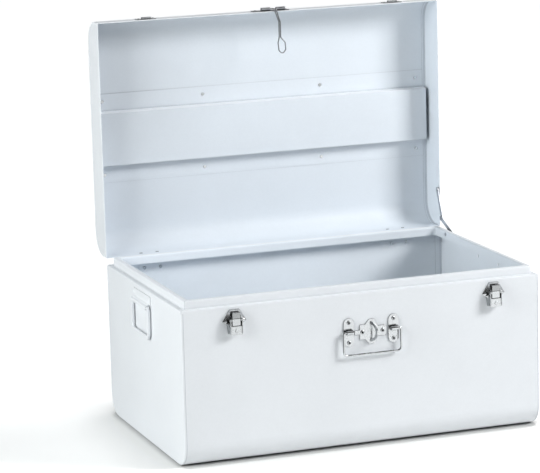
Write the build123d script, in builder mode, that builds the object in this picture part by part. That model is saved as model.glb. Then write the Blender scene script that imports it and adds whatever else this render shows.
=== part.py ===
from build123d import *
import os
from math import asin, atan2, cos, degrees, hypot, radians, sin

os.makedirs("parts", exist_ok=True)

# A small sheet-steel trunk with its lid open. X runs along the length, Y to the back,
# Z up, origin in the middle of the floor side. All sizes in mm.

# ---------------------------------------------------------------- trunk body
length = 600.0  # overall length
depth = 390.0  # front face to back face
step_height = 250.0  # floor to the ledge that the lid lands on
sheet = 0.8  # sheet steel of the body and the lid
bottom_roll = 36.0  # rolled long bottom edges
edge_round = 2.5  # all other outer edges
rim_inset = 8.5  # ledge width, outer face to the rim
rim_rise = 13.0  # rim above the ledge
rim_width = 10.0  # rim from its outer wall to the inner lip
rim_corner = 5.0  # rim corners seen from above
rim_round = 3.0  # rounded top of the rim
rim_foot = 1.2  # hollow where the rim meets the ledge
lip_drop = 14.0  # inner lip, measured down from the rim top
end_seam = 3.5  # seam between the wrap and an end panel, from the end face
mitre_drop = 5.0  # the rim's mitred seam starts this far below the ledge
lap_reach = 12.0  # end panel flange inside the wrap
lap_gap = 0.1  # flange to wrap

# ---------------------------------------------------------------- lid
lid_rise = 57.7  # height of the closed lid
lid_gap = 0.3  # closed lid above the ledge
lid_roll = 38.0  # rolled long edges of the lid
hem = 1.8  # thickness of the folded edge
hem_height = 8.0
hem_round = 0.8
lid_lap_reach = 6.5  # end flange inside the lid
lid_open = 90.0  # angle of the lid in the stored pose

# ---------------------------------------------------------------- stiffener in the lid
hat_end_gap = 7.0  # short of each lid end
hat_web = 88.0
hat_flange = 29.0
hat_rise = 17.0
hat_centre = 4.0  # web centre, towards the hinge side
hat_slope = 1.5  # each flank leans by this
hat_rivet_end = 13.0  # outer rivets from the stiffener's ends
hat_rivet_in = 105.0
hat_rivet_inset = 13.0  # rivet row from the flange's free edge

# ---------------------------------------------------------------- hinges
hinge_back = 5.0  # pin behind the back face
hinge_up = 4.0  # pin above the ledge
hinge_centre = 221.0  # each hinge from the middle
hinge_width = 40.0
knuckle = 3.4  # barrel radius
middle_knuckle = 15.2  # length of the lid's barrel
knuckle_gap = 0.2
hinge_pin = 1.5
pin_fit = 0.05
pin_head = 2.4
pin_head_length = 0.8
leaf = 1.2
body_leaf_drop = 28.0  # body leaf below the pin
lid_leaf_rise = 15.5  # lid leaf above the pin, lid closed
leaf_bend = 5.8  # leaves leave the wall this far from the pin
body_leaf_rivet = 16.0
lid_leaf_rivet = 10.5
leaf_rivet_pitch = 28.0

# ---------------------------------------------------------------- rivets
rivet_fit = 0.05
shank = 1.6
rivet_head = 3.2
rivet_head_height = 1.4
rivet_tail = 2.6
rivet_tail_height = 0.8

# ---------------------------------------------------------------- latches
latch_shift = 3.0  # both latches sit this far right of the middle
latch_centre = 217.0
latch_drop = 5.0  # latch base below the ledge
latch_length = 38.0
base_rise = 4.5  # pressed-up middle of the latch base
base_top_half = 8.0
base_wing = 19.5  # half width at the wings
wing_drop = 18.5  # wings below the base's top
base_waist = 10.5
latch_rivet_x = 13.3
latch_rivet_up = 0.5  # rivets above the wings' tips
lever_pivot_drop = 15.6  # below the base's top
lever_pivot_out = 8.0
link_pivot_drop = 6.5
ear_inner = 7.2
ear = 1.0
lever_half = 10.0
lever_sheet = 1.0
lever_plate = 1.2
lever_front = 10.5  # front face of the lever, from the wall
lever_back = 5.6
lever_overhang = 0.4  # lever's end below the base
lever_top_up = 1.0  # above its pivot
window_half = 8.5
window_depth = 10.6
edge_bead = 1.0
dimple = 2.6
dimple_height = 0.7
dimple_up = 6.0  # above the lever's end
latch_pin = 1.2
latch_pin_head = 2.0
link_half = 6.4
link_sheet = 1.6
link_front = 10.2  # front of the shank, nearly flush with the lever
link_chin = 1.9  # shank's lower edge below its pin
link_block_up = 1.4  # above the lever's top
link_block_height = 10.0
link_block_back = 6.0
link_block_front = 10.6
hook_drop = 1.8
hook_reach = 2.0

strike_width = 34.0
strike_up = 4.0  # above the ledge, lid closed
strike_height = 15.0
strike_sheet = 1.2
strike_hook_half = 8.0
strike_hook_out = 4.0
strike_hook_height = 5.0
strike_rivet_x = 12.5

# ---------------------------------------------------------------- front handle
middle_x = 10.5  # handle and eye sit a little right of the middle
handle_half = 37.5
plate_width = 17.0
plate_drop = 39.0  # plates' tops below the ledge
plate_length = 45.0
plate_sheet = 1.5
plate_rivet_inset = 6.5  # rivets from the plates' ends
bail_wire = 1.85
bail_fit = 0.08
bail_half = 48.0
bail_axis_up = 23.5  # above the plates' lower ends
bail_axis_out = 6.5
bail_drop = 36.5  # bar below the axis
bail_corner = 6.0
bail_end = 31.0  # inner ends of the bail, from the group's middle
strap_width = 11.0
strap_wall = 1.4

# ---------------------------------------------------------------- padlock eye
eye_sheet = 1.5
eye_drop = 63.0  # middle below the ledge
eye_bulge_left = 9.5
eye_bulge_right = 11.0
eye_bulge_half = 19.5
eye_corner = 6.0
eye_step_out = 19.0
eye_step_half = 11.5
eye_tab_out = 27.5
eye_tab_half = 3.2
eye_arm_out = 25.5
eye_arm_half = 8.5
eye_rivet_left = 15.0
eye_rivet_right = 19.0
eye_ear_angle = 60.0  # lean of the standing ear
eye_ear_reach = 14.0
eye_ear_half = 15.5
eye_ear_sheet = 2.0
eye_ear_web = 3.6
eye_ear_root = 1.2

# ---------------------------------------------------------------- wire hasp
hasp_left = 30.0
hasp_right = 34.0
hasp_up = 3.4  # above the ledge, lid closed
hasp_height = 15.2
hasp_sheet = 1.2
hasp_rivet_left = 24.0
hasp_rivet_right = 28.5
hasp_axis_out = 4.0
hasp_knuckle = 2.6
hasp_wire = 1.0
hasp_fit = 0.08
hasp_spans = ((-16.0, 0.0), (10.0, 26.0))
hasp_ahead = 5.5  # the wire steps this far in front of the lid's edge
hasp_neck_left = 13.0
hasp_neck_right = 15.5
hasp_bend = 1.6
loop_left = 5.2  # the two wires leave between the knuckles
loop_right = 8.4
loop_neck = 22.0  # below the axis, where the wires have spread
loop_neck_lag = 0.8
loop_waist = 48.0  # where they start to close in
loop_eye = ((10.6, 57.0), (12.0, 70.0), (18.2, 76.0), (24.0, 69.0), (23.2, 57.0))
loop_bends = (6.0, 6.0, 5.0, 4.0, 4.0, 4.0, 4.0, 6.0, 6.0)
hasp_tail = 2.0  # wire ends inside the knuckles

# ---------------------------------------------------------------- side handles
bracket_half = 45.0
bracket_drop = 8.0  # bracket below the ledge
bracket_sheet = 1.5
bracket_rivet_y = 40.0
bracket_rivet_drop = 6.0  # below the bracket's top
side_axis_drop = 18.5
side_axis_out = 4.7
side_rod = 2.2
side_fit = 0.08
side_roll = 3.5
side_roll_half = 37.5
side_leg = 42.0
side_strap = 6.4
side_strap_thick = 3.4
side_drop = 51.5  # grip's lower edge below the axis
side_corner = 12.0

# ---------------------------------------------------------------- folding stay
stay_lid_t = 64.9  # pivot on the lid, from the lid's rear face
stay_lid_h = 4.3  # and from the ledge
stay_body_in = 61.0  # pivot on the rim, in from the back face
stay_body_h = 8.0  # and above the ledge
stay_elbow_out = 20.405  # elbow from the line between the pivots, lid open
stay_half = 3.5
stay_sheet = 1.2
stay_lower_out = 1.7  # lower link from the rim
stay_upper_out = 3.9  # upper link from the rim
stay_pin = 1.5
stay_fit = 0.06
stay_washer = 2.6
stay_head = 3.0
stay_head_height = 0.8
stay_bow = 0.3  # air between the elbow stud and the lower link

# ---------------------------------------------------------------- derived places
rim_top = step_height + rim_rise
mouth_inset = rim_inset + rim_width
mitre_z = step_height - mitre_drop
lid_base = step_height + lid_gap
lid_top = lid_base + lid_rise
hem_top = lid_base + hem_height
lap_inset = sheet + lap_gap
hinge_y = depth / 2 + hinge_back
hinge_z = step_height + hinge_up
hinge_axis = Axis((0, hinge_y, hinge_z), (1, 0, 0))
front = -depth / 2
back = depth / 2
near = 0.01
sides = (-1, 1)
hat_length = length - 2 * hat_end_gap
hat_rivet_out = hat_length / 2 - hat_rivet_end
latch_top = step_height - latch_drop
latch_bottom = latch_top - latch_length
wing_height = latch_top - wing_drop
latch_rivet_z = wing_height + latch_rivet_up
lever_pivot_z = latch_top - lever_pivot_drop
lever_end = latch_bottom - lever_overhang
lever_top = lever_pivot_z + lever_top_up
window_bottom = lever_top - window_depth
dimple_z = lever_end + dimple_up
link_block_bottom = lever_top + link_block_up
link_block_top = link_block_bottom + link_block_height
strike_low = step_height + strike_up
strike_high = strike_low + strike_height
plate_high = step_height - plate_drop
plate_low = plate_high - plate_length
plate_rivet_low = plate_low + plate_rivet_inset
plate_rivet_high = plate_high - plate_rivet_inset
bail_axis_z = plate_low + bail_axis_up
bail_low = bail_axis_z - bail_drop
eye_middle_z = step_height - eye_drop
hasp_low = step_height + hasp_up
hasp_high = hasp_low + hasp_height
bracket_top = step_height - bracket_drop
bracket_rivet_z = bracket_top - bracket_rivet_drop
side_axis_z = bracket_top - side_axis_drop
side_low = side_axis_z - side_drop


def body_profile(inset, top):
    """Cross-section of the body, its long bottom edges rolled."""
    with BuildSketch() as profile:
        with Locations((0, (top + inset) / 2)):
            Rectangle(depth - 2 * inset, top - inset)
        fillet(profile.vertices().group_by(Axis.Y)[0], bottom_roll - inset)
    return profile.sketch


def lid_profile(inset, low):
    """Cross-section of the closed lid, its long top edges rolled."""
    with BuildSketch() as profile:
        with Locations((0, (lid_top - inset + low) / 2)):
            Rectangle(depth - 2 * inset, lid_top - inset - low)
        fillet(profile.vertices().group_by(Axis.Y)[-1], lid_roll - inset)
    return profile.sketch


def rivet(radius, head, head_height, grip, tail, tail_height):
    """Domed rivet: head above z=0, shank through the grip, formed tail below."""
    cap = (head**2 + head_height**2) / (2 * head_height)
    half = asin(head / cap) / 2
    over = (cap * sin(half), head_height - cap * (1 - cos(half)))
    with BuildPart() as form:
        with BuildSketch(Plane.XZ):
            with BuildLine():
                ThreePointArc((0, head_height), over, (head, 0))
                Polyline(
                    (head, 0),
                    (radius, 0),
                    (radius, -grip),
                    (tail, -grip),
                    (tail, -grip - tail_height),
                    (0, -grip - tail_height),
                    (0, head_height),
                )
            make_face()
        revolve(axis=Axis.Z)
    return form.part


def front_plane(x, out, z):
    """Plane on the front, facing forwards, this far out from the wall."""
    return Plane(origin=(x, front - out, z), x_dir=(1, 0, 0), z_dir=(0, -1, 0))


def back_plane(x, out, z):
    """Plane on the back, facing backwards."""
    return Plane(origin=(x, back + out, z), x_dir=(-1, 0, 0), z_dir=(0, 1, 0))


def side_plane(side, out, y, z):
    """Plane on an end face, facing outwards."""
    return Plane(origin=(side * (length / 2 + out), y, z), x_dir=(0, side, 0), z_dir=(side, 0, 0))


def end_region(side):
    """Everything that belongs to one end panel: the end and its mitred rim."""
    edge = Align.MIN if side > 0 else Align.MAX
    far = 30.0
    spare = 5.0
    with BuildPart() as region:
        with Locations((side * (length / 2 - end_seam), 0, -spare)):
            Box(20, depth + 20, mitre_z + spare, align=(edge, Align.CENTER, Align.MIN))
        with BuildSketch(Plane.XY.offset(mitre_z)):
            Polygon(
                (side * (length / 2 + spare), -depth / 2 - spare),
                (side * (length / 2 + spare), depth / 2 + spare),
                (side * (length / 2 - far), depth / 2 - far),
                (side * (length / 2 - far), -depth / 2 + far),
                align=None,
            )
        extrude(amount=rim_rise + mitre_drop + spare)
    return region.part


# ---------------------------------------------------------------- rivet places
sheet_grip = sheet + leaf
hinge_x = [side * hinge_centre for side in sides]
leaf_rivet_x = [x + s * leaf_rivet_pitch / 2 for x in hinge_x for s in sides]
body_leaf_places = [back_plane(x, leaf, hinge_z - body_leaf_rivet) for x in leaf_rivet_x]
lid_leaf_places = [back_plane(x, leaf, hinge_z + lid_leaf_rivet) for x in leaf_rivet_x]
latch_x = [latch_shift + side * latch_centre for side in sides]
latch_rivet_xs = [x + s * latch_rivet_x for x in latch_x for s in sides]
latch_wall_places = [front_plane(x, 0, latch_rivet_z) for x in latch_rivet_xs]
strike_rivet_xs = [x + k * strike_rivet_x for x in latch_x for k in sides]
strike_rivet_z = (strike_low + strike_high) / 2
strike_places = [front_plane(x, strike_sheet, strike_rivet_z) for x in strike_rivet_xs]
handle_x = [middle_x + side * handle_half for side in sides]
handle_places = [
    front_plane(x, plate_sheet, z) for x in handle_x for z in (plate_rivet_low, plate_rivet_high)
]
eye_rivet_xs = (middle_x - eye_rivet_left, middle_x + eye_rivet_right)
eye_places = [front_plane(x, eye_sheet, eye_middle_z) for x in eye_rivet_xs]
hasp_rivet_z = (hasp_low + hasp_high) / 2 + 0.5
hasp_places = [
    front_plane(x, hasp_sheet, hasp_rivet_z) for x in (-hasp_rivet_left, hasp_rivet_right)
]
bracket_places = {
    side: [
        side_plane(side, bracket_sheet, s * bracket_rivet_y, bracket_rivet_z) for s in sides
    ]
    for side in sides
}
hat_low = hat_centre - hat_web / 2 - hat_slope - hat_flange
hat_high = hat_centre + hat_web / 2 + hat_slope + hat_flange
hat_places = [
    Plane(origin=(sx * x, y, lid_top), z_dir=(0, 0, 1))
    for sx in sides
    for x in (hat_rivet_out, hat_rivet_in)
    for y in (hat_low + hat_rivet_inset, hat_high - hat_rivet_inset)
]
hole = shank + rivet_fit
hole_reach = 6.0

# stay pivots, lid pivot given on the closed lid
stay_a = (back - stay_lid_t, step_height + stay_lid_h)
stay_b = (back - stay_body_in, step_height + stay_body_h)
stay_a_open = (hinge_y + stay_a[1] - hinge_z, hinge_z - stay_a[0] + hinge_y)
elbow_span = hypot(stay_b[0] - stay_a_open[0], stay_b[1] - stay_a_open[1])
stay_link = hypot(elbow_span / 2, stay_elbow_out)  # pivot to pivot
rim_face = length / 2 - rim_inset
stay_body_hole = Plane(origin=(rim_face, stay_b[0], stay_b[1]), z_dir=(1, 0, 0))
stay_lid_hole = Plane(origin=(length / 2, stay_a[0], stay_a[1]), z_dir=(1, 0, 0))

# ---------------------------------------------------------------- pressed tub, before splitting
def end_and_ledge_edges(part, inset, top):
    """Outer edges of a block: both ends all round, and the long edges at its top."""
    return [
        e
        for e in part.edges()
        if abs(abs(e.center().X) - length / 2 + inset) < near
        or (
            abs(abs(e.center().Y) - depth / 2 + inset) < near and abs(e.center().Z - top) < near
        )
    ]


body_outer = body_profile(0, step_height)
body_inner = body_profile(sheet, step_height - sheet)
mouth_length = length - 2 * mouth_inset
mouth_depth = depth - 2 * mouth_inset

with BuildPart() as hollow:
    with BuildSketch(Plane.YZ.offset(-length / 2 + sheet)):
        add(body_inner)
    extrude(amount=length - 2 * sheet)
    fillet(end_and_ledge_edges(hollow, sheet, step_height - sheet), edge_round - sheet)
    with BuildSketch(Plane.XY.offset(rim_top - lip_drop)):
        RectangleRounded(mouth_length + 2 * sheet, mouth_depth + 2 * sheet, rim_corner + sheet)
        RectangleRounded(mouth_length, mouth_depth, rim_corner, mode=Mode.SUBTRACT)
    extrude(amount=lip_drop, mode=Mode.SUBTRACT)

with BuildPart() as rim_hollow:
    with BuildSketch(Plane.XY.offset(step_height - 2 * sheet)):
        RectangleRounded(
            length - 2 * rim_inset - 2 * sheet,
            depth - 2 * rim_inset - 2 * sheet,
            rim_corner - sheet,
        )
        RectangleRounded(
            mouth_length + 2 * sheet,
            mouth_depth + 2 * sheet,
            rim_corner + sheet,
            mode=Mode.SUBTRACT,
        )
    extrude(amount=rim_rise + sheet)
    fillet(rim_hollow.edges().filter_by(Plane.XY).group_by(Axis.Z)[-1], rim_round - sheet)

with BuildPart() as tub:
    with BuildSketch(Plane.YZ.offset(-length / 2)):
        add(body_outer)
    extrude(amount=length)
    with BuildSketch(Plane.XY.offset(step_height)):
        RectangleRounded(length - 2 * rim_inset, depth - 2 * rim_inset, rim_corner)
    extrude(amount=rim_rise)
    with BuildSketch(Plane.XY.offset(rim_top)):
        RectangleRounded(mouth_length, mouth_depth, rim_corner)
    extrude(amount=-rim_rise - 3 * sheet, mode=Mode.SUBTRACT)
    fillet(end_and_ledge_edges(tub, 0, step_height), edge_round)
    fillet(tub.edges().filter_by(Plane.XY).group_by(Axis.Z)[-1], rim_round)
    foot_edges = [
        e
        for e in tub.edges()
        if abs(e.bounding_box().min.Z - step_height) < near
        and abs(e.bounding_box().max.Z - step_height) < near
        and abs(e.center().X) < length / 2 - rim_inset + near
        and abs(e.center().Y) < depth / 2 - rim_inset + near
    ]
    fillet(foot_edges, rim_foot)
    add(hollow.part, mode=Mode.SUBTRACT)
    add(rim_hollow.part, mode=Mode.SUBTRACT)

left_region = end_region(-1)
right_region = end_region(1)
lap_outer = body_profile(lap_inset, mitre_z)
lap_inner = body_profile(lap_inset + sheet, mitre_z)

# ---------------------------------------------------------------- body wrap
with BuildPart() as body_wrap:
    add(tub.part)
    add(left_region, mode=Mode.SUBTRACT)
    add(right_region, mode=Mode.SUBTRACT)
    with Locations(*body_leaf_places, *latch_wall_places, *handle_places, *eye_places):
        Cylinder(hole, hole_reach, mode=Mode.SUBTRACT)
body_wrap.part.label = "body_wrap"
export_step(body_wrap.part, "parts/body_wrap.step")

# ---------------------------------------------------------------- end panels
with BuildPart() as left_end_panel:
    add(tub.part)
    add(left_region, mode=Mode.INTERSECT)
    with BuildSketch(Plane.YZ.offset(-length / 2 + sheet)):
        add(lap_outer)
        add(lap_inner, mode=Mode.SUBTRACT)
    extrude(amount=lap_reach - sheet)
    with Locations(*bracket_places[-1]):
        Cylinder(hole, hole_reach, mode=Mode.SUBTRACT)
left_end_panel.part.label = "left_end_panel"
export_step(left_end_panel.part, "parts/left_end_panel.step")

stay_rivet_reach = rim_width + 4
with BuildPart() as right_end_panel:
    add(tub.part)
    add(right_region, mode=Mode.INTERSECT)
    with BuildSketch(Plane.YZ.offset(length / 2 - sheet)):
        add(lap_outer)
        add(lap_inner, mode=Mode.SUBTRACT)
    extrude(amount=-(lap_reach - sheet))
    with Locations(*bracket_places[1]):
        Cylinder(hole, hole_reach, mode=Mode.SUBTRACT)
    with Locations(stay_body_hole):
        Cylinder(
            stay_pin + rivet_fit,
            2 * stay_rivet_reach,
            mode=Mode.SUBTRACT,
        )
right_end_panel.part.label = "right_end_panel"
export_step(right_end_panel.part, "parts/right_end_panel.step")

# ---------------------------------------------------------------- hinge leaves
body_barrel = (hinge_width - middle_knuckle) / 2 - knuckle_gap


def leaf_profile(up):
    """Leaf's curl from the wall round the pin; up is -1 below the pin, 1 above it."""
    with BuildSketch() as profile:
        with Locations((hinge_y, hinge_z)):
            Circle(knuckle)
        Polygon(
            (back + near, hinge_z + up * (leaf_bend + 1.4)),
            (back + near, hinge_z + up * (leaf_bend - 1.2)),
            (hinge_y - 0.8 * knuckle, hinge_z + up * 0.4 * knuckle),
            (hinge_y + 0.35 * knuckle, hinge_z + up * 0.9 * knuckle),
            (back + leaf, hinge_z + up * leaf_bend),
            (back + leaf, hinge_z + up * (leaf_bend + 1.4)),
            align=None,
        )
        with Locations((hinge_y, hinge_z)):
            Circle(hinge_pin + pin_fit, mode=Mode.SUBTRACT)
    return profile.sketch


lower_curl = leaf_profile(-1)
upper_curl = leaf_profile(1)
with BuildPart() as hinge_body_leaves:
    for x in hinge_x:
        with BuildSketch(Plane.XZ.offset(-back)):
            low = hinge_z - body_leaf_drop
            high = hinge_z - leaf_bend - 1.0
            with Locations((x, (low + high) / 2)):
                Rectangle(hinge_width, high - low)
        extrude(amount=-leaf)
        for start in (x - hinge_width / 2, x + hinge_width / 2 - body_barrel):
            with BuildSketch(Plane.YZ.offset(start)):
                add(lower_curl)
            extrude(amount=body_barrel)
    with Locations(*body_leaf_places):
        Cylinder(hole, hole_reach, mode=Mode.SUBTRACT)
hinge_body_leaves.part.label = "hinge_body_leaves"
export_step(hinge_body_leaves.part, "parts/hinge_body_leaves.step")

with BuildPart() as hinge_lid_leaves:
    for x in hinge_x:
        with BuildSketch(Plane.XZ.offset(-back)):
            low = hinge_z + leaf_bend + 1.0
            high = hinge_z + lid_leaf_rise
            with Locations((x, (low + high) / 2)):
                Rectangle(hinge_width, high - low)
        extrude(amount=-leaf)
        with BuildSketch(Plane.YZ.offset(x - middle_knuckle / 2)):
            add(upper_curl)
        extrude(amount=middle_knuckle)
    with Locations(*lid_leaf_places):
        Cylinder(hole, hole_reach, mode=Mode.SUBTRACT)
hinge_lid_leaves.part = hinge_lid_leaves.part.rotate(hinge_axis, -lid_open)
hinge_lid_leaves.part.label = "hinge_lid_leaves"
export_step(hinge_lid_leaves.part, "parts/hinge_lid_leaves.step")

with BuildPart() as hinge_pins:
    for x in hinge_x:
        with BuildSketch(Plane.YZ.offset(x - hinge_width / 2)):
            with Locations((hinge_y, hinge_z)):
                Circle(hinge_pin)
        extrude(amount=hinge_width)
        for start in (x - hinge_width / 2 - pin_head_length, x + hinge_width / 2):
            with BuildSketch(Plane.YZ.offset(start)):
                with Locations((hinge_y, hinge_z)):
                    Circle(pin_head)
            extrude(amount=pin_head_length)
hinge_pins.part.label = "hinge_pins"
export_step(hinge_pins.part, "parts/hinge_pins.step")

leaf_rivet = rivet(shank, rivet_head, rivet_head_height, sheet_grip, rivet_tail, rivet_tail_height)
with BuildPart() as hinge_body_rivets:
    with Locations(*body_leaf_places):
        add(leaf_rivet)
hinge_body_rivets.part.label = "hinge_body_rivets"
export_step(hinge_body_rivets.part, "parts/hinge_body_rivets.step")

with BuildPart() as hinge_lid_rivets:
    with Locations(*lid_leaf_places):
        add(leaf_rivet)
hinge_lid_rivets.part = hinge_lid_rivets.part.rotate(hinge_axis, -lid_open)
hinge_lid_rivets.part.label = "hinge_lid_rivets"
export_step(hinge_lid_rivets.part, "parts/hinge_lid_rivets.step")

# ---------------------------------------------------------------- pressed lid, before splitting
with BuildPart() as cover:
    with BuildSketch(Plane.YZ.offset(-length / 2)):
        add(lid_profile(0, lid_base))
    extrude(amount=length)
    end_edges = [
        e
        for e in cover.edges()
        if abs(abs(e.center().X) - length / 2) < near and e.center().Z > lid_base + near
    ]
    fillet(end_edges, edge_round)
    offset(amount=-sheet, openings=cover.faces().sort_by(Axis.Z)[0])
    with BuildSketch(Plane.XY.offset(lid_base)):
        RectangleRounded(length, depth, edge_round)
        RectangleRounded(
            length - 2 * hem, depth - 2 * hem, edge_round - sheet, mode=Mode.SUBTRACT
        )
    extrude(amount=hem_height)
    fillet(cover.edges().filter_by(Plane.XY).group_by(Axis.Z)[0], hem_round)

seam_x = length / 2 - end_seam
lid_outer = lid_profile(lap_inset, hem_top + lid_gap)
lid_inner = lid_profile(lap_inset + sheet, hem_top + lid_gap)
lap_band = Plane.YZ.offset(length / 2 - sheet)

# ---------------------------------------------------------------- lid skin
with BuildPart() as lid_skin:
    add(cover.part)
    split(bisect_by=Plane.YZ.offset(seam_x), keep=Keep.BOTTOM)
    split(bisect_by=Plane.YZ.offset(-seam_x), keep=Keep.TOP)
    with Locations(*lid_leaf_places, *strike_places, *hasp_places, *hat_places):
        Cylinder(hole, hole_reach, mode=Mode.SUBTRACT)
lid_skin.part = lid_skin.part.rotate(hinge_axis, -lid_open)
lid_skin.part.label = "lid_skin"
export_step(lid_skin.part, "parts/lid_skin.step")

# ---------------------------------------------------------------- lid ends
with BuildPart() as lid_left_end:
    add(cover.part)
    split(bisect_by=Plane.YZ.offset(-seam_x), keep=Keep.BOTTOM)
    with BuildSketch(Plane.YZ.offset(-length / 2 + sheet)):
        add(lid_outer)
        add(lid_inner, mode=Mode.SUBTRACT)
    extrude(amount=lid_lap_reach - sheet)
lid_left_end.part = lid_left_end.part.rotate(hinge_axis, -lid_open)
lid_left_end.part.label = "lid_left_end"
export_step(lid_left_end.part, "parts/lid_left_end.step")

with BuildPart() as lid_right_end:
    add(cover.part)
    split(bisect_by=Plane.YZ.offset(seam_x), keep=Keep.TOP)
    with BuildSketch(lap_band):
        add(lid_outer)
        add(lid_inner, mode=Mode.SUBTRACT)
    extrude(amount=-(lid_lap_reach - sheet))
    with Locations(stay_lid_hole):
        Cylinder(stay_pin + rivet_fit, hole_reach, mode=Mode.SUBTRACT)
lid_right_end.part = lid_right_end.part.rotate(hinge_axis, -lid_open)
lid_right_end.part.label = "lid_right_end"
export_step(lid_right_end.part, "parts/lid_right_end.step")

# ---------------------------------------------------------------- lid stiffener
hat_top = lid_top - sheet
with BuildPart() as lid_stiffener:
    with BuildSketch(Plane.YZ.offset(-hat_length / 2)):
        half = hat_web / 2
        Polygon(
            (hat_low, hat_top),
            (hat_low, hat_top - sheet),
            (hat_centre - half - hat_slope, hat_top - sheet),
            (hat_centre - half, hat_top - hat_rise),
            (hat_centre + half, hat_top - hat_rise),
            (hat_centre + half + hat_slope, hat_top - sheet),
            (hat_high, hat_top - sheet),
            (hat_high, hat_top),
            (hat_centre + half + hat_slope - sheet, hat_top),
            (hat_centre + half - sheet, hat_top - hat_rise + sheet),
            (hat_centre - half + sheet, hat_top - hat_rise + sheet),
            (hat_centre - half - hat_slope + sheet, hat_top),
            align=None,
        )
    extrude(amount=hat_length)
    web_edges = [
        e
        for e in lid_stiffener.edges().filter_by(Axis.X)
        if abs(e.center().Z - hat_top + hat_rise) < near
    ]
    fillet(web_edges, 0.7)
    with Locations(*hat_places):
        Cylinder(hole, hole_reach, mode=Mode.SUBTRACT)
lid_stiffener.part = lid_stiffener.part.rotate(hinge_axis, -lid_open)
lid_stiffener.part.label = "lid_stiffener"
export_step(lid_stiffener.part, "parts/lid_stiffener.step")

hat_rivet = rivet(shank, rivet_head, 0.9, 2 * sheet, rivet_tail, rivet_tail_height)
with BuildPart() as stiffener_rivets:
    with Locations(*hat_places):
        add(hat_rivet)
stiffener_rivets.part = stiffener_rivets.part.rotate(hinge_axis, -lid_open)
stiffener_rivets.part.label = "stiffener_rivets"
export_step(stiffener_rivets.part, "parts/stiffener_rivets.step")

# ---------------------------------------------------------------- latch bases
base_outline = (
    (-base_top_half, latch_top),
    (-base_wing, wing_height),
    (-base_waist - 2, wing_height - 6),
    (-base_waist, latch_bottom),
    (base_waist, latch_bottom),
    (base_waist + 2, wing_height - 6),
    (base_wing, wing_height),
    (base_top_half, latch_top),
)
plateau_outline = (
    (-base_top_half, latch_top - 2),
    (-base_waist + 0.5, wing_height + 1),
    (-base_waist + 0.5, wing_height - 6),
    (-base_waist + 1, latch_bottom + 1),
    (base_waist - 1, latch_bottom + 1),
    (base_waist - 0.5, wing_height - 6),
    (base_waist - 0.5, wing_height + 1),
    (base_top_half, latch_top - 2),
)
pivot_y = front - lever_pivot_out
link_pivot_z = lever_pivot_z - link_pivot_drop
ear_reach = 2.6
ear_outline = (
    (front - base_rise + 0.5, latch_top - 4),
    (pivot_y - ear_reach, lever_pivot_z + 1),
    (pivot_y - ear_reach, lever_pivot_z - 1),
    (pivot_y - 1.2, lever_pivot_z - ear_reach),
    (front - base_rise + 0.5, lever_pivot_z - ear_reach + 0.6),
)
with BuildPart() as latch_bases:
    for x in latch_x:
        with BuildSketch(front_plane(x, 0, 0)):
            Polygon(*base_outline, align=None)
        with BuildSketch(front_plane(x, base_rise, 0)):
            Polygon(*plateau_outline, align=None)
        loft()
        for start in (x - ear_inner - ear, x + ear_inner):
            with BuildSketch(Plane.YZ.offset(start)):
                Polygon(*ear_outline, align=None)
                with Locations((pivot_y, lever_pivot_z)):
                    Circle(latch_pin + pin_fit, mode=Mode.SUBTRACT)
            extrude(amount=ear)
    with Locations(*latch_wall_places):
        Cylinder(hole, 4 * hole_reach, mode=Mode.SUBTRACT)
        with Locations((0, 0, leaf + base_rise)):
            Cylinder(rivet_head + 0.3, 2 * base_rise, mode=Mode.SUBTRACT)
latch_bases.part.label = "latch_bases"
export_step(latch_bases.part, "parts/latch_bases.step")

latch_rivet = rivet(shank, rivet_head, 1.2, sheet_grip, rivet_tail, rivet_tail_height)
with BuildPart() as latch_base_rivets:
    with Locations(*[front_plane(x, leaf, latch_rivet_z) for x in latch_rivet_xs]):
        add(latch_rivet)
latch_base_rivets.part.label = "latch_base_rivets"
export_step(latch_base_rivets.part, "parts/latch_base_rivets.step")

# ---------------------------------------------------------------- latch levers, links and pins
lever_inner = lever_half - lever_sheet
flange_outline = (
    (front - lever_front, lever_top),
    (pivot_y + 1.2, lever_pivot_z + 2.6),
    (pivot_y + 2.4, lever_pivot_z + 1.2),
    (front - lever_back, lever_pivot_z - 1.2),
    (front - lever_back, lever_end + 6),
    (front - lever_front + lever_plate, lever_end + 1.5),
    (front - lever_front, lever_end + 1.5),
)
link_y = pivot_y


def lever(x):
    """Finger lever: front plate with a window, side flanges, a bead along each edge."""
    with BuildPart() as form:
        with BuildSketch(front_plane(x, lever_front - lever_plate, 0)):
            with Locations((0, (lever_end + lever_top) / 2)):
                RectangleRounded(2 * lever_half, lever_top - lever_end, 1.5)
            with Locations((0, (window_bottom + lever_top) / 2 + 1)):
                Rectangle(2 * window_half, lever_top - window_bottom + 2, mode=Mode.SUBTRACT)
        extrude(amount=lever_plate)
        for start in (x - lever_half, x + lever_inner):
            with BuildSketch(Plane.YZ.offset(start)):
                Polygon(*flange_outline, align=None)
            extrude(amount=lever_sheet)
        for start in (x - lever_half, x + lever_half - edge_bead):
            with BuildSketch(front_plane(start, lever_front, 0)):
                with Locations((edge_bead / 2, (lever_end + lever_top) / 2)):
                    Rectangle(edge_bead, lever_top - lever_end - 4)
            extrude(amount=edge_bead)
        with BuildSketch(front_plane(x, lever_front - 0.2, 0)):
            with Locations((0, dimple_z)):
                Circle(dimple)
        extrude(amount=dimple_height + 0.2, taper=30)
        for y, z in ((pivot_y, lever_pivot_z), (link_y, link_pivot_z)):
            with BuildSketch(Plane.YZ.offset(x - lever_half - 1)):
                with Locations((y, z)):
                    Circle(latch_pin + pin_fit)
            extrude(amount=2 * lever_half + 2, mode=Mode.SUBTRACT)
    return form.part


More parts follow.
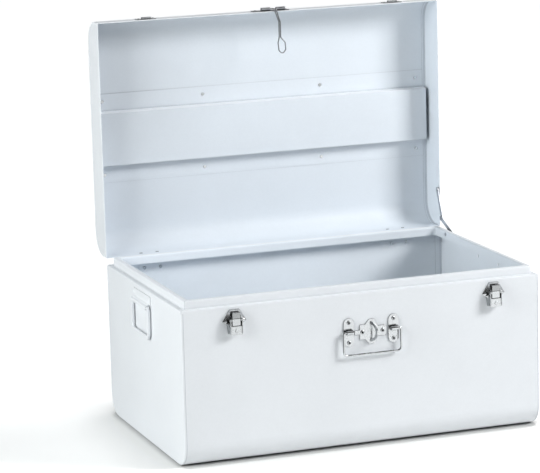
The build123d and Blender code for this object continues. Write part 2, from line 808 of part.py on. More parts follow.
def link(x):
    """Catch that the lever raises and draws down: eye, shank and hook block."""
    with BuildPart() as form:
        with BuildSketch(Plane.YZ.offset(x - link_half)):
            with Locations((link_y, link_pivot_z)):
                Circle(2.0)
            with Locations((link_y, (link_pivot_z + link_block_bottom) / 2 + 0.5)):
                Rectangle(link_sheet, link_block_bottom - link_pivot_z + 1)
            chin_z = link_pivot_z - link_chin
            with Locations(
                ((link_y + front - link_front) / 2, (chin_z + link_block_bottom + 1) / 2)
            ):
                Rectangle(link_y - front + link_front, link_block_bottom + 1 - chin_z)
            with Locations(
                (
                    front - (link_block_front + link_block_back) / 2,
                    (link_block_bottom + link_block_top) / 2,
                )
            ):
                RectangleRounded(
                    link_block_front - link_block_back, link_block_top - link_block_bottom, 0.7
                )
            with Locations((front - link_block_back + 0.5, link_block_top - hook_drop / 2 - 0.7)):
                Rectangle(hook_reach, hook_drop)
            with Locations((link_y, link_pivot_z)):
                Circle(latch_pin + pin_fit, mode=Mode.SUBTRACT)
        extrude(amount=2 * link_half)
    return form.part


def pivot_stub(x, side):
    """Short pin through one base ear and one lever flange, headed at both ends."""
    inner = ear_inner - 0.5
    with BuildPart() as form:
        with BuildSketch(Plane.YZ.offset(x + side * inner)):
            with Locations((pivot_y, lever_pivot_z)):
                Circle(latch_pin)
        extrude(amount=side * (lever_half + 0.2 - inner))
        with BuildSketch(Plane.YZ.offset(x + side * inner)):
            with Locations((pivot_y, lever_pivot_z)):
                Circle(latch_pin_head)
        extrude(amount=side * 0.5)
        with BuildSketch(Plane.YZ.offset(x + side * (lever_half + 0.1))):
            with Locations((pivot_y, lever_pivot_z)):
                Circle(latch_pin_head)
        extrude(amount=side * 0.7)
    return form.part


def link_pin(x):
    """Pin through both lever flanges and the link's eye."""
    with BuildPart() as form:
        with BuildSketch(Plane.YZ.offset(x - lever_half)):
            with Locations((link_y, link_pivot_z)):
                Circle(latch_pin)
        extrude(amount=2 * lever_half)
        for start in (x - lever_half - 0.5, x + lever_half):
            with BuildSketch(Plane.YZ.offset(start)):
                with Locations((link_y, link_pivot_z)):
                    Circle(1.8)
            extrude(amount=0.5)
    return form.part


lever_forms = {side: lever(x) for side, x in zip(sides, latch_x)}
link_forms = {side: link(x) for side, x in zip(sides, latch_x)}
link_pin_forms = {side: link_pin(x) for side, x in zip(sides, latch_x)}
stub_forms = [pivot_stub(x, s) for x in latch_x for s in sides]

with BuildPart() as left_latch_lever:
    add(lever_forms[-1])
left_latch_lever.part.label = "left_latch_lever"
export_step(left_latch_lever.part, "parts/left_latch_lever.step")

with BuildPart() as right_latch_lever:
    add(lever_forms[1])
right_latch_lever.part.label = "right_latch_lever"
export_step(right_latch_lever.part, "parts/right_latch_lever.step")

with BuildPart() as left_latch_link:
    add(link_forms[-1])
left_latch_link.part.label = "left_latch_link"
export_step(left_latch_link.part, "parts/left_latch_link.step")

with BuildPart() as right_latch_link:
    add(link_forms[1])
right_latch_link.part.label = "right_latch_link"
export_step(right_latch_link.part, "parts/right_latch_link.step")

with BuildPart() as left_link_pin:
    add(link_pin_forms[-1])
left_link_pin.part.label = "left_link_pin"
export_step(left_link_pin.part, "parts/left_link_pin.step")

with BuildPart() as right_link_pin:
    add(link_pin_forms[1])
right_link_pin.part.label = "right_link_pin"
export_step(right_link_pin.part, "parts/right_link_pin.step")

with BuildPart() as latch_pivot_pins:
    for stub in stub_forms:
        add(stub)
latch_pivot_pins.part.label = "latch_pivot_pins"
export_step(latch_pivot_pins.part, "parts/latch_pivot_pins.step")

# ---------------------------------------------------------------- latch strikes on the lid
with BuildPart() as latch_strikes:
    for x in latch_x:
        with BuildSketch(front_plane(x, 0, strike_rivet_z)):
            RectangleRounded(strike_width, strike_high - strike_low, 3.5)
        extrude(amount=strike_sheet)
        with BuildSketch(Plane.YZ.offset(x - strike_hook_half)):
            Polygon(
                (front - strike_sheet + 0.3, strike_low + 1.5),
                (front - strike_sheet + 0.3, strike_low + 1.5 + strike_hook_height),
                (front - strike_hook_out, strike_low + 1.5 + strike_hook_height),
                (front - strike_hook_out, strike_low + 2.5),
                (front - strike_hook_out + 1.0, strike_low + 1.5),
                align=None,
            )
        extrude(amount=2 * strike_hook_half)
    with Locations(*strike_places):
        Cylinder(hole, hole_reach, mode=Mode.SUBTRACT)
latch_strikes.part = latch_strikes.part.rotate(hinge_axis, -lid_open)
latch_strikes.part.label = "latch_strikes"
export_step(latch_strikes.part, "parts/latch_strikes.step")

strike_rivet = rivet(
    shank, rivet_head, 1.2, sheet + strike_sheet, rivet_tail, rivet_tail_height
)
with BuildPart() as latch_strike_rivets:
    with Locations(*strike_places):
        add(strike_rivet)
latch_strike_rivets.part = latch_strike_rivets.part.rotate(hinge_axis, -lid_open)
latch_strike_rivets.part.label = "latch_strike_rivets"
export_step(latch_strike_rivets.part, "parts/latch_strike_rivets.step")

# ---------------------------------------------------------------- front handle plates
strap_outer = bail_wire + bail_fit + strap_wall
bail_y = front - bail_axis_out
with BuildPart() as handle_plates:
    for x in handle_x:
        with BuildSketch(front_plane(x, 0, (plate_low + plate_high) / 2)):
            SlotOverall(plate_high - plate_low, plate_width, rotation=90)
        extrude(amount=plate_sheet)
        with BuildSketch(Plane.YZ.offset(x - strap_width / 2)):
            with Locations((bail_y, bail_axis_z)):
                Circle(strap_outer)
            with Locations(((bail_y + front - plate_sheet + 0.5) / 2, bail_axis_z)):
                Rectangle(bail_axis_out - plate_sheet + 0.5, 2 * strap_outer)
            with Locations((bail_y, bail_axis_z)):
                Circle(bail_wire + bail_fit, mode=Mode.SUBTRACT)
        extrude(amount=strap_width)
    with Locations(*handle_places):
        Cylinder(hole, hole_reach, mode=Mode.SUBTRACT)
handle_plates.part.label = "handle_plates"
export_step(handle_plates.part, "parts/handle_plates.step")

plate_rivet = rivet(
    shank, rivet_head, rivet_head_height, sheet + plate_sheet, rivet_tail, rivet_tail_height
)
with BuildPart() as handle_rivets:
    with Locations(*handle_places):
        add(plate_rivet)
handle_rivets.part.label = "handle_rivets"
export_step(handle_rivets.part, "parts/handle_rivets.step")

# ---------------------------------------------------------------- front bail
with BuildPart() as front_bail:
    with BuildLine() as bail_path:
        FilletPolyline(
            (middle_x - bail_end, bail_y, bail_axis_z),
            (middle_x - bail_half, bail_y, bail_axis_z),
            (middle_x - bail_half, bail_y, bail_low),
            (middle_x + bail_half, bail_y, bail_low),
            (middle_x + bail_half, bail_y, bail_axis_z),
            (middle_x + bail_end, bail_y, bail_axis_z),
            radius=[2.2, bail_corner, bail_corner, 2.2],
        )
    with BuildSketch(Plane(origin=bail_path.line @ 0, z_dir=(-1, 0, 0))):
        Circle(bail_wire)
    sweep()
front_bail.part.label = "front_bail"
export_step(front_bail.part, "parts/front_bail.step")

# ---------------------------------------------------------------- padlock eye
with BuildPart() as eye_plate:
    with BuildSketch(front_plane(middle_x, 0, eye_middle_z)):
        Polygon(
            (-eye_tab_out, -eye_tab_half),
            (-eye_step_out, -eye_tab_half),
            (-eye_step_out, -eye_step_half),
            (-eye_bulge_left - 1, -eye_step_half),
            (-eye_bulge_left + eye_corner, -eye_bulge_half),
            (eye_bulge_right - eye_corner, -eye_bulge_half),
            (eye_bulge_right, -eye_bulge_half + 2 * eye_corner),
            (eye_arm_out - 3, -eye_arm_half),
            (eye_arm_out, -eye_arm_half + 4),
            (eye_arm_out, eye_arm_half - 4),
            (eye_arm_out - 3, eye_arm_half),
            (eye_bulge_right, eye_bulge_half - 2 * eye_corner),
            (eye_bulge_right - eye_corner, eye_bulge_half),
            (-eye_bulge_left + eye_corner, eye_bulge_half),
            (-eye_bulge_left - 1, eye_step_half),
            (-eye_step_out, eye_step_half),
            (-eye_step_out, eye_tab_half),
            (-eye_tab_out, eye_tab_half),
            align=None,
        )
    extrude(amount=eye_sheet)
    ear_plane = Plane(
        origin=(middle_x - 1, front - eye_sheet, eye_middle_z),
        x_dir=(cos(radians(eye_ear_angle)), -sin(radians(eye_ear_angle)), 0),
        z_dir=(-sin(radians(eye_ear_angle)), -cos(radians(eye_ear_angle)), 0),
    )
    with BuildSketch(ear_plane):
        Ellipse(eye_ear_reach, eye_ear_half)
        with Locations((eye_ear_reach / 2 - eye_ear_root, 0)):
            Rectangle(eye_ear_reach + 2, 4 * eye_ear_half, mode=Mode.INTERSECT)
        Ellipse(eye_ear_reach - eye_ear_web, eye_ear_half - eye_ear_web, mode=Mode.SUBTRACT)
    extrude(amount=eye_ear_sheet / 2, both=True)
    with BuildSketch(Plane.XZ.offset(-front)):
        with Locations((middle_x, eye_middle_z)):
            Rectangle(4 * eye_bulge_half, 4 * eye_bulge_half)
    extrude(amount=-eye_ear_reach, mode=Mode.SUBTRACT)
    with Locations(*eye_places):
        Cylinder(hole, hole_reach, mode=Mode.SUBTRACT)
eye_plate.part.label = "eye_plate"
export_step(eye_plate.part, "parts/eye_plate.step")

eye_rivet = rivet(
    shank, rivet_head, rivet_head_height, sheet + eye_sheet, rivet_tail, rivet_tail_height
)
with BuildPart() as eye_rivets:
    with Locations(*eye_places):
        add(eye_rivet)
eye_rivets.part.label = "eye_rivets"
export_step(eye_rivets.part, "parts/eye_rivets.step")

# ---------------------------------------------------------------- hasp plate on the lid
hasp_y = front - hasp_axis_out
with BuildPart() as hasp_plate:
    with BuildSketch(front_plane((hasp_right - hasp_left) / 2, 0, (hasp_low + hasp_high) / 2)):
        RectangleRounded(hasp_left + hasp_right, hasp_high - hasp_low, 3)
    extrude(amount=hasp_sheet)
    for start, stop in hasp_spans:
        with BuildSketch(Plane.YZ.offset(start)):
            with Locations((hasp_y, hinge_z)):
                Circle(hasp_knuckle)
            Polygon(
                (front - 0.4, hinge_z + 0.4),
                (front - 0.4, hinge_z + hasp_knuckle),
                (hasp_y, hinge_z + hasp_knuckle),
                (hasp_y, hinge_z + 0.4),
                align=None,
            )
            with Locations((hasp_y, hinge_z)):
                Circle(hasp_wire + hasp_fit, mode=Mode.SUBTRACT)
        extrude(amount=stop - start)
    with Locations(*hasp_places):
        Cylinder(hole, hole_reach, mode=Mode.SUBTRACT)
hasp_plate.part = hasp_plate.part.rotate(hinge_axis, -lid_open)
hasp_plate.part.label = "hasp_plate"
export_step(hasp_plate.part, "parts/hasp_plate.step")

hasp_rivet = rivet(shank, rivet_head, 1.2, sheet + hasp_sheet, rivet_tail, rivet_tail_height)
with BuildPart() as hasp_rivets:
    with Locations(*hasp_places):
        add(hasp_rivet)
hasp_rivets.part = hasp_rivets.part.rotate(hinge_axis, -lid_open)
hasp_rivets.part.label = "hasp_rivets"
export_step(hasp_rivets.part, "parts/hasp_rivets.step")

# ---------------------------------------------------------------- wire hasp, hanging in front
hang_y = hinge_y
hang_z = hinge_z - hasp_y + hinge_y
ahead_y = hang_y - hasp_ahead
with BuildPart() as hasp_loop:
    with BuildLine() as hasp_path:
        FilletPolyline(
            (hasp_spans[0][0] + hasp_tail, hang_y, hang_z),
            (loop_left, hang_y, hang_z),
            (loop_left, ahead_y, hang_z),
            (hasp_neck_left, ahead_y, hang_z - loop_neck),
            (hasp_neck_left, ahead_y, hang_z - loop_waist),
            *[(x, ahead_y, hang_z - drop) for x, drop in loop_eye],
            (hasp_neck_right, ahead_y, hang_z - loop_waist),
            (hasp_neck_right, ahead_y, hang_z - loop_neck - loop_neck_lag),
            (loop_right, ahead_y, hang_z),
            (loop_right, hang_y, hang_z),
            (hasp_spans[1][1] - hasp_tail, hang_y, hang_z),
            radius=[hasp_bend, hasp_bend, *loop_bends, hasp_bend, hasp_bend],
        )
    with BuildSketch(Plane(origin=hasp_path.line @ 0, z_dir=(1, 0, 0))):
        Circle(hasp_wire)
    sweep()
hasp_loop.part.label = "hasp_loop"
export_step(hasp_loop.part, "parts/hasp_loop.step")

# ---------------------------------------------------------------- side handle brackets
side_rivet = rivet(
    shank, rivet_head, rivet_head_height, sheet + bracket_sheet, rivet_tail, rivet_tail_height
)


def side_bracket(side):
    """Plate riveted to an end, its lower edge rolled round the handle's rod."""
    with BuildPart() as form:
        with BuildSketch(side_plane(side, 0, 0, 0)):
            with Locations((0, (bracket_top + side_axis_z + 5) / 2)):
                RectangleRounded(2 * bracket_half, bracket_top - side_axis_z - 5, 4)
        extrude(amount=bracket_sheet)
        with BuildSketch(Plane.XZ.offset(-side_roll_half)):
            with Locations((side * (length / 2 + side_axis_out), side_axis_z)):
                Circle(side_roll)
            Polygon(
                (side * (length / 2 + near), side_axis_z + 8),
                (side * (length / 2 + near), side_axis_z + 3),
                (side * (length / 2 + side_axis_out - 0.9 * side_roll), side_axis_z),
                (side * (length / 2 + side_axis_out), side_axis_z + side_roll - 0.02),
                (side * (length / 2 + bracket_sheet), side_axis_z + 6),
                (side * (length / 2 + bracket_sheet), side_axis_z + 8),
                align=None,
            )
            with Locations((side * (length / 2 + side_axis_out), side_axis_z)):
                Circle(side_rod + side_fit, mode=Mode.SUBTRACT)
        extrude(amount=2 * side_roll_half)
        with Locations(*bracket_places[side]):
            Cylinder(hole, hole_reach, mode=Mode.SUBTRACT)
    return form.part


def side_bail(side):
    """Flat strap handle with a round rod across its top."""
    face = side_plane(side, side_axis_out - side_strap_thick / 2, 0, 0)
    outer = side_leg + side_strap / 2
    inner = side_leg - side_strap / 2
    with BuildPart() as form:
        with BuildSketch(face):
            with Locations((0, (side_axis_z + side_low) / 2)):
                Rectangle(2 * outer, side_axis_z - side_low)
        extrude(amount=side_strap_thick)
        low_edges = form.edges().filter_by(Axis.X).group_by(Axis.Z)[0]
        fillet(low_edges, side_corner)
        with BuildSketch(face) as cut:
            with Locations((0, (side_axis_z + 10 + side_low + side_strap) / 2)):
                Rectangle(2 * inner, side_axis_z + 10 - side_low - side_strap)
            fillet(cut.vertices().group_by(Axis.Y)[0], side_corner - side_strap)
        extrude(amount=side_strap_thick, mode=Mode.SUBTRACT)
        with BuildSketch(face):
            with Locations((-side_leg, side_axis_z), (side_leg, side_axis_z)):
                Circle(side_strap / 2)
        extrude(amount=side_strap_thick)
        fillet(form.edges().group_by(Axis.Z)[0], 0.8)
        with BuildSketch(Plane.XZ.offset(-side_leg)):
            with Locations((side * (length / 2 + side_axis_out), side_axis_z)):
                Circle(side_rod)
        extrude(amount=2 * side_leg)
    return form.part


bracket_forms = {side: side_bracket(side) for side in sides}
bail_forms = {side: side_bail(side) for side in sides}

with BuildPart() as left_handle_bracket:
    add(bracket_forms[-1])
left_handle_bracket.part.label = "left_handle_bracket"
export_step(left_handle_bracket.part, "parts/left_handle_bracket.step")

with BuildPart() as right_handle_bracket:
    add(bracket_forms[1])
right_handle_bracket.part.label = "right_handle_bracket"
export_step(right_handle_bracket.part, "parts/right_handle_bracket.step")

with BuildPart() as left_side_bail:
    add(bail_forms[-1])
left_side_bail.part.label = "left_side_bail"
export_step(left_side_bail.part, "parts/left_side_bail.step")

with BuildPart() as right_side_bail:
    add(bail_forms[1])
right_side_bail.part.label = "right_side_bail"
export_step(right_side_bail.part, "parts/right_side_bail.step")

with BuildPart() as side_handle_rivets:
    with Locations(*bracket_places[-1], *bracket_places[1]):
        add(side_rivet)
side_handle_rivets.part.label = "side_handle_rivets"
export_step(side_handle_rivets.part, "parts/side_handle_rivets.step")

# ---------------------------------------------------------------- folding stay
mid = ((stay_a_open[0] + stay_b[0]) / 2, (stay_a_open[1] + stay_b[1]) / 2)
across = ((stay_a_open[1] - stay_b[1]) / elbow_span, -(stay_a_open[0] - stay_b[0]) / elbow_span)
elbow = (mid[0] + stay_elbow_out * across[0], mid[1] + stay_elbow_out * across[1])
lower_x = rim_face + stay_lower_out
upper_x = rim_face + stay_upper_out
hem_face = length / 2 - hem


def stay_blank(start, a, b, hole_at):
    """Flat link with round ends between two pivots, holed at one of them."""
    angle = degrees(atan2(b[1] - a[1], b[0] - a[0]))
    with BuildPart() as form:
        with BuildSketch(Plane.YZ.offset(start)):
            with Locations(((a[0] + b[0]) / 2, (a[1] + b[1]) / 2)):
                SlotCenterToCenter(stay_link, 2 * stay_half, rotation=angle)
            with Locations(hole_at):
                Circle(stay_pin + stay_fit, mode=Mode.SUBTRACT)
        extrude(amount=stay_sheet)
    return form.part


lower_blank = stay_blank(lower_x, stay_b, elbow, stay_b)
upper_blank = stay_blank(upper_x, stay_a_open, elbow, stay_a_open)
with BuildPart() as stay_lower_link:
    add(lower_blank)
    with BuildSketch(Plane.YZ.offset(lower_x)):
        with Locations(elbow):
            Circle(stay_washer)
    extrude(amount=-stay_head_height)
stay_lower_link.part.label = "stay_lower_link"
export_step(stay_lower_link.part, "parts/stay_lower_link.step")

with BuildPart() as stay_upper_link:
    add(upper_blank)
    with BuildSketch(Plane.YZ.offset(upper_x)):
        with Locations(elbow):
            Circle(stay_head)
    extrude(amount=-(stay_upper_out - stay_lower_out - stay_sheet - stay_bow))
    with BuildSketch(Plane.YZ.offset(upper_x + stay_sheet)):
        with Locations(elbow):
            Circle(stay_washer)
    extrude(amount=stay_head_height)
stay_upper_link.part.label = "stay_upper_link"
export_step(stay_upper_link.part, "parts/stay_upper_link.step")

with BuildPart() as stay_body_rivet:
    with BuildSketch(Plane.YZ.offset(rim_face)):
        with Locations(stay_b):
            Circle(stay_washer)
            Circle(stay_pin, mode=Mode.SUBTRACT)
    extrude(amount=stay_lower_out - 0.05)
    with BuildSketch(Plane.YZ.offset(rim_face - rim_width)):
        with Locations(stay_b):
            Circle(stay_pin)
    extrude(amount=rim_width + stay_lower_out + stay_sheet + 0.05)
    with BuildSketch(Plane.YZ.offset(lower_x + stay_sheet + 0.05)):
        with Locations(stay_b):
            Circle(stay_washer)
    extrude(amount=0.6)
    with BuildSketch(Plane.YZ.offset(rim_face - rim_width)):
        with Locations(stay_b):
            Circle(stay_head)
    extrude(amount=-stay_head_height)
stay_body_rivet.part.label = "stay_body_rivet"
export_step(stay_body_rivet.part, "parts/stay_body_rivet.step")

with BuildPart() as stay_lid_rivet:
    with BuildSketch(Plane.YZ.offset(upper_x + stay_sheet + 0.05)):
        with Locations(stay_a):
            Circle(stay_washer)
    extrude(amount=hem_face - upper_x - stay_sheet - 0.05)
    with BuildSketch(Plane.YZ.offset(upper_x - 0.05)):
        with Locations(stay_a):
            Circle(stay_pin)
    extrude(amount=length / 2 - upper_x + 0.05)
    with BuildSketch(Plane.YZ.offset(upper_x - 0.05)):
        with Locations(stay_a):
            Circle(stay_washer)
    extrude(amount=-0.6)
    with BuildSketch(Plane.YZ.offset(length / 2)):
        with Locations(stay_a):
            Circle(stay_head)
    extrude(amount=stay_head_height)
stay_lid_rivet.part = stay_lid_rivet.part.rotate(hinge_axis, -lid_open)
stay_lid_rivet.part.label = "stay_lid_rivet"
export_step(stay_lid_rivet.part, "parts/stay_lid_rivet.step")
print("elbow", elbow, "lid pivot", stay_a_open)
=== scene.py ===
"""A white sheet-steel trunk with its lid standing open, dressed and lit over its CAD frame."""

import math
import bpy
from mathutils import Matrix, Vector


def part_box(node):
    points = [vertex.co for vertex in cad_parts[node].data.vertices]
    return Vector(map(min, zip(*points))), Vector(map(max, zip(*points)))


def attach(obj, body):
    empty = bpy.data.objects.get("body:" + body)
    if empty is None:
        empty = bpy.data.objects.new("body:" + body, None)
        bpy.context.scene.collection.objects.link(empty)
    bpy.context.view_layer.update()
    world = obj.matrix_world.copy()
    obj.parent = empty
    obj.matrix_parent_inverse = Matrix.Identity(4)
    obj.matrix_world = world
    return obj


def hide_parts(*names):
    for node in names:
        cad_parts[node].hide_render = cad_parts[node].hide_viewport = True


bl_info = {
    "name": "Sheet-steel trunk",
    "version": (1, 0, 0),
    "blender": (4, 5, 0),
    "location": "3D Viewport > Sidebar > Trunk",
    "description": "Paint, plating, fine metalwork and studio for an open sheet-steel trunk",
    "category": "Object",
}

import bmesh
import bpy
from mathutils import Matrix, Vector

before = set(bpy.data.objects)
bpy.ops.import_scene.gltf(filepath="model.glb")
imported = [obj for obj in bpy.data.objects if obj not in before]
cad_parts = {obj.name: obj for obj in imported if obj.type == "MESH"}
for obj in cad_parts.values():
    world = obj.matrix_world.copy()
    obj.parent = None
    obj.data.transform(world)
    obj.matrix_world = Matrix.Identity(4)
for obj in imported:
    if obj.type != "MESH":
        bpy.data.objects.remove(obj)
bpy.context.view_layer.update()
MM = 0.001
NOWHERE = 10.0  # a place past the trunk, which switches a limit off
END_SEAM = 0.2965  # distance of the end panels' seams from the middle
HALF_LENGTH, HALF_DEPTH = 0.3, 0.195  # of the trunk, where the rim's mitres start
RIM_FOOT = 0.245  # height at which the rim rises from the body
WHITE = (1.0, 1.0, 1.0, 1.0)


# ---------------------------------------------------------------- node wiring
def put(tree, kind, settings=None, /, **inputs):
    """Add a node, set its options, and fill its inputs with values or links."""
    node = tree.nodes.new(kind)
    for key, value in (settings or {}).items():
        setattr(node, key, value)
    for key, value in inputs.items():
        name = key.replace("_", " ")
        socket = next(s for s in node.inputs if s.name == name and s.enabled)
        if isinstance(value, bpy.types.NodeSocket):
            tree.links.new(value, socket)
        else:
            socket.default_value = value
    return node


def maths(tree, operation, *values, clamp=False):
    """One Math node; each value is a number or a socket."""
    node = tree.nodes.new("ShaderNodeMath")
    node.operation = operation
    node.use_clamp = clamp
    for socket, value in zip(node.inputs, values):
        if isinstance(value, bpy.types.NodeSocket):
            tree.links.new(value, socket)
        else:
            socket.default_value = value
    return node.outputs[0]


def vectors(tree, operation, *values):
    """One Vector Math node; gives back the output that the operation fills."""
    node = tree.nodes.new("ShaderNodeVectorMath")
    node.operation = operation
    for socket, value in zip(node.inputs, values):
        if isinstance(value, bpy.types.NodeSocket):
            tree.links.new(value, socket)
        else:
            socket.default_value = value
    return node.outputs["Value" if operation in ("DOT_PRODUCT", "LENGTH") else "Vector"]


def blend_colours(tree, amount, first, second, mode="MIX"):
    """Mix two colours by a mask."""
    node = tree.nodes.new("ShaderNodeMix")
    node.data_type = "RGBA"
    node.blend_type = mode
    ports = [s for s in node.inputs if s.enabled]
    for socket, value in zip(ports, (amount, first, second)):
        if isinstance(value, bpy.types.NodeSocket):
            tree.links.new(value, socket)
        else:
            socket.default_value = value
    return next(s for s in node.outputs if s.enabled)


def ramp(tree, value, low, high, start=0.0, stop=1.0, smooth=True):
    """Bring a value from one range into another, held at both ends."""
    node = tree.nodes.new("ShaderNodeMapRange")
    node.interpolation_type = "SMOOTHSTEP" if smooth else "LINEAR"
    for name, amount in (
        ("Value", value),
        ("From Min", low),
        ("From Max", high),
        ("To Min", start),
        ("To Max", stop),
    ):
        if isinstance(amount, bpy.types.NodeSocket):
            tree.links.new(amount, node.inputs[name])
        else:
            node.inputs[name].default_value = amount
    return node.outputs["Result"]


def effect(name, inputs, outputs, fill):
    """Shader node group, built once; fill(tree, entry, exit) wires its inside."""
    known = bpy.data.node_groups.get(name)
    if known:
        return known
    tree = bpy.data.node_groups.new(name, "ShaderNodeTree")
    for label, kind, value in inputs:
        socket = tree.interface.new_socket(label, in_out="INPUT", socket_type=kind)
        if value is not None:
            socket.default_value = value
    for label, kind in outputs:
        tree.interface.new_socket(label, in_out="OUTPUT", socket_type=kind)
    entry = tree.nodes.new("NodeGroupInput")
    exit_node = tree.nodes.new("NodeGroupOutput")
    fill(tree, entry.outputs, exit_node.inputs)
    return tree


def use_effect(tree, group, **inputs):
    """Place an effect in a material with this material's own values."""
    node = tree.nodes.new("ShaderNodeGroup")
    node.node_tree = group
    for key, value in inputs.items():
        socket = node.inputs[key.replace("_", " ")]
        if isinstance(value, bpy.types.NodeSocket):
            tree.links.new(value, socket)
        else:
            socket.default_value = value
    return node.outputs


# ---------------------------------------------------------------- effects
FLOAT, VECTOR, COLOUR = "NodeSocketFloat", "NodeSocketVector", "NodeSocketColor"


def coat_grain():
    """Fine orange peel of a powder coat over slightly uneven pressed sheet."""

    def fill(tree, given, result):
        peel = put(
            tree,
            "ShaderNodeTexNoise",
            Vector=given["Position"],
            Scale=given["Peel scale"],
            Detail=2.0,
            Roughness=0.55,
        )
        sheet = put(
            tree,
            "ShaderNodeTexNoise",
            Vector=given["Position"],
            Scale=given["Sheet scale"],
            Detail=1.0,
            Roughness=0.4,
        )
        tall = maths(tree, "MULTIPLY", peel.outputs[0], given["Peel height"])
        long = maths(tree, "MULTIPLY", sheet.outputs[0], given["Sheet height"])
        tree.links.new(maths(tree, "ADD", tall, long), result["Height"])

    return effect(
        "Coat grain",
        [
            ("Position", VECTOR, None),
            ("Peel scale", FLOAT, 420.0),
            ("Peel height", FLOAT, 0.00001),
            ("Sheet scale", FLOAT, 7.0),
            ("Sheet height", FLOAT, 0.0004),
        ],
        [("Height", FLOAT)],
        fill,
    )


def tone_drift():
    """Slow change of tone over a surface, from one multiplier to another."""

    def fill(tree, given, result):
        cloud = put(
            tree,
            "ShaderNodeTexNoise",
            Vector=given["Position"],
            Scale=given["Scale"],
            Detail=3.0,
            Roughness=0.6,
        )
        value = ramp(tree, cloud.outputs[0], 0.3, 0.7, given["Low"], given["High"])
        tree.links.new(value, result["Value"])

    return effect(
        "Tone drift",
        [
            ("Position", VECTOR, None),
            ("Scale", FLOAT, 8.0),
            ("Low", FLOAT, 0.97),
            ("High", FLOAT, 1.0),
        ],
        [("Value", FLOAT)],
        fill,
    )


def inner_side():
    """Mask of the faces that look in at the middle of a hollow shell."""

    def fill(tree, given, result):
        inward = vectors(tree, "SUBTRACT", given["Centre"], given["Position"])
        facing = vectors(tree, "DOT_PRODUCT", inward, given["Normal"])
        tree.links.new(ramp(tree, facing, -0.004, 0.004), result["Mask"])

    return effect(
        "Inner side",
        [("Position", VECTOR, None), ("Normal", VECTOR, None), ("Centre", VECTOR, (0, 0, 0))],
        [("Mask", FLOAT)],
        fill,
    )


def seam_lines():
    """Mask of the end seams, at a set distance from the middle along X."""

    def fill(tree, given, result):
        split = put(tree, "ShaderNodeSeparateXYZ", Vector=given["Position"])
        across = maths(tree, "ABSOLUTE", split.outputs["X"])
        off = maths(tree, "ABSOLUTE", maths(tree, "SUBTRACT", across, given["Seam"]))
        line = ramp(tree, off, 0.0, given["Width"], 1.0, 0.0)
        over = maths(tree, "ADD", given["Top"], 0.0005)
        low = ramp(tree, split.outputs["Z"], given["Top"], over, 1.0, 0.0)
        tree.links.new(maths(tree, "MULTIPLY", line, low), result["Mask"])

    return effect(
        "Seam lines",
        [
            ("Position", VECTOR, None),
            ("Seam", FLOAT, END_SEAM),
            ("Width", FLOAT, 0.0006),
            ("Top", FLOAT, NOWHERE),
        ],
        [("Mask", FLOAT)],
        fill,
    )


def mitre_lines():
    """Mask of the diagonal joints at the corners of a rectangular rim."""

    def fill(tree, given, result):
        split = put(tree, "ShaderNodeSeparateXYZ", Vector=given["Position"])
        across = maths(tree, "ABSOLUTE", split.outputs["X"])
        along = maths(tree, "ABSOLUTE", split.outputs["Y"])
        x = maths(tree, "SUBTRACT", across, given["Half length"])
        y = maths(tree, "SUBTRACT", along, given["Half depth"])
        off = maths(tree, "ABSOLUTE", maths(tree, "SUBTRACT", x, y))
        line = ramp(tree, off, 0.0, given["Width"], 1.0, 0.0)
        under = maths(tree, "SUBTRACT", given["Foot"], 0.0003)
        high = ramp(tree, split.outputs["Z"], under, given["Foot"])
        tree.links.new(maths(tree, "MULTIPLY", line, high), result["Mask"])

    return effect(
        "Mitre lines",
        [
            ("Position", VECTOR, None),
            ("Half length", FLOAT, HALF_LENGTH),
            ("Half depth", FLOAT, HALF_DEPTH),
            ("Foot", FLOAT, RIM_FOOT),
            ("Width", FLOAT, 0.0006),
        ],
        [("Mask", FLOAT)],
        fill,
    )


def level_line():
    """Mask of a thin level line that fades out along X, and mask of what is above it."""

    def fill(tree, given, result):
        split = put(tree, "ShaderNodeSeparateXYZ", Vector=given["Position"])
        off = maths(tree, "ABSOLUTE", maths(tree, "SUBTRACT", split.outputs["Z"], given["Level"]))
        line = ramp(tree, off, 0.0, given["Width"], 1.0, 0.0)
        along = ramp(tree, split.outputs["X"], given["Start"], given["Stop"], 1.0, given["Least"])
        above = maths(tree, "GREATER_THAN", split.outputs["Z"], given["Level"])
        tree.links.new(maths(tree, "MULTIPLY", line, along), result["Mask"])
        tree.links.new(above, result["Above"])

    return effect(
        "Level line",
        [
            ("Position", VECTOR, None),
            ("Level", FLOAT, 0.0),
            ("Width", FLOAT, 0.0005),
            ("Start", FLOAT, NOWHERE),
            ("Stop", FLOAT, NOWHERE + 1.0),
            ("Least", FLOAT, 0.0),
        ],
        [("Mask", FLOAT), ("Above", FLOAT)],
        fill,
    )


